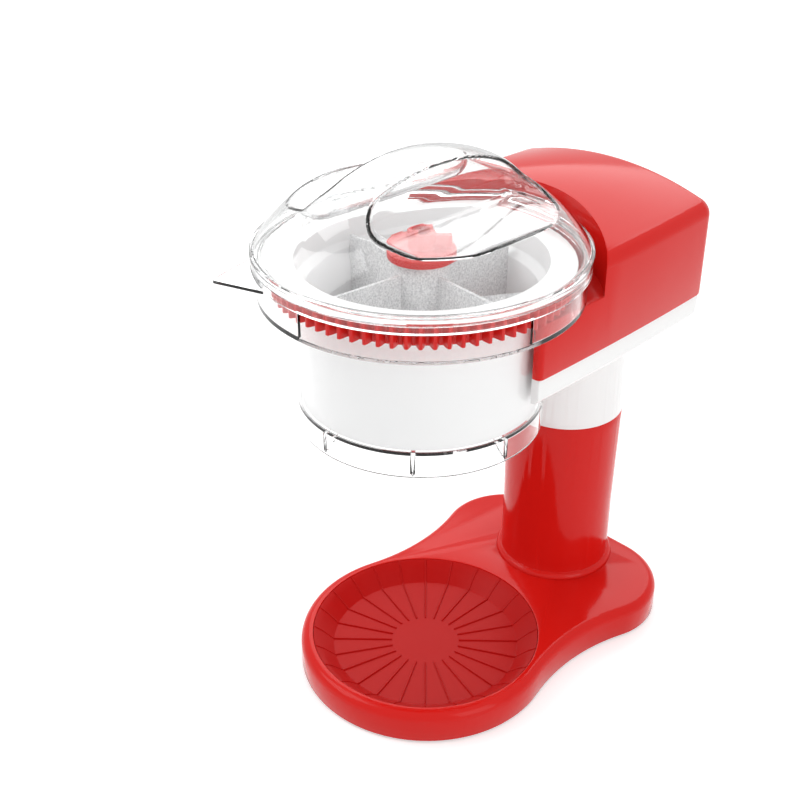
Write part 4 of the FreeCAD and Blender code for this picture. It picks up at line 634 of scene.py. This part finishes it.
softEdges = {  # node: piece name, width of its rounded edges in millimetres, finish, slot
    "base_shell": ("baseShell", 0.5, "redGloss", "red_plastic"),
    "column_sleeve": ("columnSleeve", 0.4, "redGloss", "red_plastic"),
    "column_neck": ("columnNeck", 0.4, "whiteGloss", "white_plastic"),
    "head_cover": ("headCover", 0.5, "redGloss", "red_plastic"),
    "head_underside": ("headUnderside", 0.5, "whiteGloss", "white_plastic"),
    "drum_vanes": ("drumVanes", 0.2, "frosted", "frosted_plastic"),
    "ring_gear": ("ringGear", 0.35, "redGear", "red_plastic"),
    "locking_knob": ("lockingKnob", 0.8, "redGear", "red_plastic"),
    "drive_pinion": ("drivePinion", 0.35, "redGear", "red_plastic"),
    "rubber_feet": ("rubberFeet", 0.5, "rubber", "rubber"),
    "switch_body": ("switchBody", 0.3, "blackPlastic", "black_plastic"),
    "switch_rocker": ("switchRocker", 0.3, "blackPlastic", "black_plastic"),
    "cord_bushing": ("cordBushing", 0.3, "blackPlastic", "black_plastic"),
}
for nodeName, (pieceName, width, finish, slotName) in softEdges.items():
    fitted(dressedCopy(nodeName, pieceName, width), finish, slotName, nodeName)
print("edges softened on", len(softEdges), "mouldings")

lidShape = {
    "sphere": 131.844,  # the dome's radius and the height of its centre
    "centre": 273.056,
    "bottom": 348.4,
    "spare": 12.0,  # dome kept under that height while it is being shaped
    "wall": 2.2,
    "voxels": (1.3, 1.15),
    "ridgeHalf": (60.0, 88.0, 45.0),  # grip ridge: half width, half length, height
    "ridgeY": -3.0,
    "ridgeTop": 408.5,
    "scoopX": (18.5, 86.0),  # finger scoops to either side of it: inner and outer wall
    "scoopY": (-70.0, 66.0),
    "scoopFloor": 373.6,
    "scoopDepth": 60.0,
    "scoopCorner": (15.0, 32.0),  # seen from above, beside the ridge and away from it
    "scoopCove": 11.0,  # where its floor meets its walls
    "blend": 40,  # rounds of smoothing between dome and ridge
    "rim": [(101.995, 339.7), (104.195, 339.7), (104.195, 342.7), (109.995, 342.7), (109.995, 348.4),
            (105.995, 348.4), (105.995, 344.9), (101.995, 344.9)],
    "rimEdge": 0.45,
}


def roundBody(name, half, place):
    # a ball drawn out to an ellipsoid
    ball = started(name, bpy.ops.mesh.primitive_uv_sphere_add, segments=128, ring_count=96, radius=mm,
                   location=(0, 0, 0))
    bpy.ops.object.mode_set(mode="EDIT")
    bpy.ops.mesh.select_all(action="SELECT")
    bpy.ops.transform.resize(value=half, center_override=(0, 0, 0))
    bpy.ops.transform.translate(value=(place[0] * mm, hopperY + place[1] * mm, place[2] * mm))
    bpy.ops.object.mode_set(mode="OBJECT")
    return ball


def cutLevel(piece, height, fill):
    # takes away what lies below a height
    takeUp(piece)
    bpy.ops.object.mode_set(mode="EDIT")
    bpy.ops.mesh.select_all(action="SELECT")
    bpy.ops.mesh.bisect(plane_co=(0, 0, height * mm), plane_no=(0, 0, 1), clear_inner=True, use_fill=fill)
    bpy.ops.object.mode_set(mode="OBJECT")
    return piece


def buildScoop(shape, side):
    # what is taken out of the dome beside the ridge: level floor, coved walls, round corners
    inner, outer = shape["scoopX"]
    front, rear = shape["scoopY"]
    low, high = shape["scoopFloor"], shape["scoopFloor"] + shape["scoopDepth"]
    middle = (side * (inner + outer) / 2 * mm, hopperY + (front + rear) / 2 * mm, (low + high) / 2 * mm)
    size = ((outer - inner) * mm, (rear - front) * mm, (high - low) * mm)
    scoop = started("scoop", bpy.ops.mesh.primitive_cube_add, size=1, scale=size, location=middle)
    takeUp(scoop)
    bpy.ops.object.mode_set(mode="EDIT")
    for radius, near in zip(shape["scoopCorner"], (True, False)):
        pick("EDGE", lambda place: abs(place.z - middle[2]) < mm
             and (abs(place.x) < abs(middle[0])) == near and abs(place.x - middle[0]) > (inner + 2) * mm)
        bpy.ops.mesh.bevel(offset=radius * mm, segments=12, affect="EDGES")
    pick("EDGE", lambda place: place.z < (low + 0.1) * mm)
    bpy.ops.mesh.bevel(offset=shape["scoopCove"] * mm, segments=8, affect="EDGES")
    bpy.ops.object.mode_set(mode="OBJECT")
    return scoop


def buildLid(shape):
    radius = shape["sphere"]
    dome = roundBody("clearLid", (radius, radius, radius), (0, 0, shape["centre"]))
    cutLevel(dome, shape["bottom"] - shape["spare"], True)
    rise = shape["ridgeHalf"][2]
    ridge = roundBody("ridge", shape["ridgeHalf"], (0, shape["ridgeY"], shape["ridgeTop"] - rise))
    combined(dome, "UNION", ridge)
    coarse, fine = shape["voxels"]
    applied(dome, "REMESH", mode="VOXEL", voxel_size=coarse * mm)
    applied(dome, "SMOOTH", factor=0.5, iterations=shape["blend"])
    for side in (1, -1):
        combined(dome, "DIFFERENCE", buildScoop(shape, side))
    applied(dome, "REMESH", mode="VOXEL", voxel_size=fine * mm)
    applied(dome, "SMOOTH", factor=0.5, iterations=2)
    cutLevel(dome, shape["bottom"], False)
    applied(dome, "SOLIDIFY", thickness=shape["wall"] * mm, offset=-1, use_even_offset=True)
    smoothed(dome, 40)
    rim = softened(turnedPiece("lidRim", shape["rim"], 240), shape["rimEdge"], 3)
    smoothed(rim, tightAngle)
    return joined(dome, rim)


fitted(buildLid(lidShape), "clearLid", "clear_plastic", "lid")
print("lid made")

hopperShape = {
    "profile": [(81.366, 223.0), (83.566, 223.0), (84.566, 316.3), (106.995, 316.3), (106.995, 318.7),
                (106.995, 336.6), (109.495, 336.6), (109.495, 342.4), (104.795, 342.4), (104.795, 336.6),
                (104.795, 318.7), (82.366, 318.7), (81.666, 241.0), (80.4, 241.0), (5.0, 241.0),
                (5.0, 232.6), (13.0, 232.6), (13.0, 238.6), (81.366, 238.6)],
    "sides": 360,
    "wallReach": (103.0, 108.0),  # where the window is let into the collar
    "windowHeights": (318.7, 336.6),
    "windowHeadings": (-88.0, -7.0),
    "notch": (29.315, 115.94),  # room for the pinion: radius and distance behind the axis
    "notchHeights": (313.0, 337.0),
    "chute": (20.0, 72.966, 9.0, -25.5),  # inner end, outer end, width, heading
    "chuteHeights": (235.0, 245.0),
    "gusset": (64.3, 81.6, 2.6, 13.0),  # inner end, outer end, width, height
    "gussetHeights": (238.6, 239.8),  # the floor's underside, and how far a gusset goes into it
    "gussetCount": 8,
    "gussetFirst": -48.0,
    "tab": (107.6, 134.495, 2.0, -118.0),  # root, tip, thickness, heading
    "tabHalf": (26.0, 1.5),  # half its width at root and tip
    "tabHeight": 336.6,
    "edge": 0.3,
}


def bar(name, low, high, width, bottom, top):
    # a plain bar along +X from the hopper's axis
    size = ((high - low) * mm, width * mm, (top - bottom) * mm)
    place = ((low + high) / 2 * mm, hopperY, (bottom + top) / 2 * mm)
    return started(name, bpy.ops.mesh.primitive_cube_add, size=1, scale=size, location=place)


def buildGusset(shape):
    low, high, width, height = shape["gusset"]
    under, inside = shape["gussetHeights"]
    gusset = bar("gusset", low, high, width, under - height, inside)
    takeUp(gusset)
    bpy.ops.object.mode_set(mode="EDIT")
    pick("VERT", lambda place: place.x < (low + high) / 2 * mm and place.z < (under - height / 2) * mm)
    bpy.ops.transform.translate(value=((high - low - width) * mm, 0, 0))
    bpy.ops.object.mode_set(mode="OBJECT")
    return gusset


def buildTab(shape):
    root, tip, thick, direction = shape["tab"]
    bottom = shape["tabHeight"]
    tab = bar("tab", root, tip, 2 * shape["tabHalf"][0], bottom, bottom + thick)
    takeUp(tab)
    bpy.ops.object.mode_set(mode="EDIT")
    pick("VERT", lambda place: place.x > (tip - 0.1) * mm)
    narrow = shape["tabHalf"][1] / shape["tabHalf"][0]
    bpy.ops.transform.resize(value=(1, narrow, 1), center_override=(0, hopperY, 0))
    bpy.ops.object.mode_set(mode="OBJECT")
    tab.data.transform(aboutAxis(direction))
    return tab


def buildHopper(shape):
    hopper = turnedPiece("clearHopper", shape["profile"], shape["sides"])
    inner, outer = shape["wallReach"]
    low, high = shape["windowHeights"]
    first, last = shape["windowHeadings"]
    middle = ((inner + outer) / 2 * mm, hopperY, (low + high) / 2 * mm)
    window = started("window", bpy.ops.mesh.primitive_plane_add, size=1, rotation=(math.pi / 2, 0, 0),
                     location=middle)
    takeUp(window)
    bpy.ops.object.mode_set(mode="EDIT")
    bpy.ops.mesh.select_all(action="SELECT")
    size = ((outer - inner) * mm, 1, (high - low) * mm)
    bpy.ops.transform.resize(value=size, center_override=middle)
    bpy.ops.object.mode_set(mode="OBJECT")
    window.data.transform(aboutAxis(last))  # spin turns clockwise
    bpy.ops.object.mode_set(mode="EDIT")
    bpy.ops.mesh.spin(steps=81, angle=math.radians(last - first), center=(0, hopperY, 0), axis=(0, 0, 1))
    bpy.ops.mesh.select_all(action="SELECT")
    bpy.ops.mesh.normals_make_consistent(inside=False)
    bpy.ops.object.mode_set(mode="OBJECT")
    radius, behind = shape["notch"]
    low, high = shape["notchHeights"]
    notch = started("notch", bpy.ops.mesh.primitive_cylinder_add, vertices=96, radius=radius * mm,
                    depth=(high - low) * mm, location=(0, hopperY + behind * mm, (low + high) / 2 * mm))
    low, high, width, direction = shape["chute"]
    chute = bar("chute", low, high, width, *shape["chuteHeights"])
    chute.data.transform(aboutAxis(direction))
    combined(hopper, "DIFFERENCE", window, notch, chute)
    gussets = turnedCopies(buildGusset(shape), shape["gussetCount"], shape["gussetFirst"])
    combined(hopper, "UNION", *gussets, buildTab(shape))
    softened(hopper, shape["edge"], 2, 35)
    return smoothed(hopper, tightAngle)


def floorCorner(place, normal):
    return 80.3 < reach(place) < 81.7 and 240.6 < place.z / mm < 241.3


def collarLip(place, normal):
    return 104.9 < reach(place) < 109.6 and abs(place.z / mm - 336.6) < 0.1 and normal.z < -0.5


def tabSide(place, normal):
    return reach(place) > 110.5 and abs(normal.z) < 0.5


hopperNodes = ("hopper", "hopper_ledge", "hopper_collar", "pull_tab", "hopper_floor")
hopper = fitted(buildHopper(hopperShape), "clearBowl", "clear_plastic", *hopperNodes)
# painted shade: the floor's corner, the collar lip's underside and the tab's sides get the near-black
# clear finish, for the dark lines seen along them
edged(hopper, "clearPaintedShade", floorCorner)
edged(hopper, "clearPaintedShade", collarLip)
edged(hopper, "clearPaintedShade", tabSide)
print("hopper made")

drumShape = {
    "profile": [(75.366, 241.5), (79.9, 241.5), (80.9, 318.7), (84.166, 321.1), (84.166, 337.2),
                (99.595, 337.2), (99.595, 339.6), (82.166, 339.6), (82.166, 323.5), (76.366, 318.7)],
    "edge": 0.7,
}


def buildDrum(shape):
    return smoothed(softened(turnedPiece("drumBody", shape["profile"], 240), shape["edge"], 3, 25))


fitted(buildDrum(drumShape), "whiteDrum", "white_plastic", "drum", "drum_rim")
print("drum made")

trayShape = {
    "centre": 8.0,  # the tray's axis lies behind the hopper's
    "profile": [(4.0, 11.0), (73.0, 11.0), (80.2, 19.5), (86.5, 23.7), (86.5, 25.7), (80.2, 21.5),
                 (71.0, 13.0), (4.0, 13.0)],
    "edge": 0.5,
    "ribs": 24,
    "rib": (26.0, 71.4, 1.2),  # inner end, outer end, width
    "ribHeights": (12.4, 14.0),
    "ribSteps": ((9.2, 8.5), (5.4, 3.6)),  # outward and upward, as it climbs the wall
    "ribEdge": 0.45,
    "middle": 4.01,  # what is closed afterwards
}


def buildTray(shape):
    tray = turnedPiece("dripTray", shape["profile"], 180, shape["centre"])
    middle = Vector((0, hopperY + shape["centre"] * mm))
    takeUp(tray)
    bpy.ops.object.mode_set(mode="EDIT")
    pick("FACE", lambda place: (place.xy - middle).length < shape["middle"] * mm)
    bpy.ops.mesh.delete(type="FACE")
    bpy.ops.mesh.select_all(action="SELECT")
    bpy.ops.mesh.fill_holes(sides=0)
    bpy.ops.object.mode_set(mode="OBJECT")
    softened(tray, shape["edge"], 3, 12)
    low, high, width = shape["rib"]
    rib = bar("rib", low, high, width, *shape["ribHeights"])
    takeUp(rib)
    bpy.ops.object.mode_set(mode="EDIT")
    for outward, upward in shape["ribSteps"]:
        pick("FACE", lambda place: place.x > (high - 0.1) * mm)
        bpy.ops.mesh.extrude_region_move(TRANSFORM_OT_translate={"value": (outward * mm, 0, upward * mm)})
        high += outward
    bpy.ops.object.mode_set(mode="OBJECT")
    softened(rib, shape["ribEdge"], 3)
    rib.data.transform(Matrix.Translation((0, shape["centre"] * mm, 0)))
    return smoothed(joined(tray, *turnedCopies(rib, shape["ribs"], centreY=shape["centre"])))


fitted(buildTray(trayShape), "redTray", "tray_plastic", "drip_tray")
print("drip tray made")
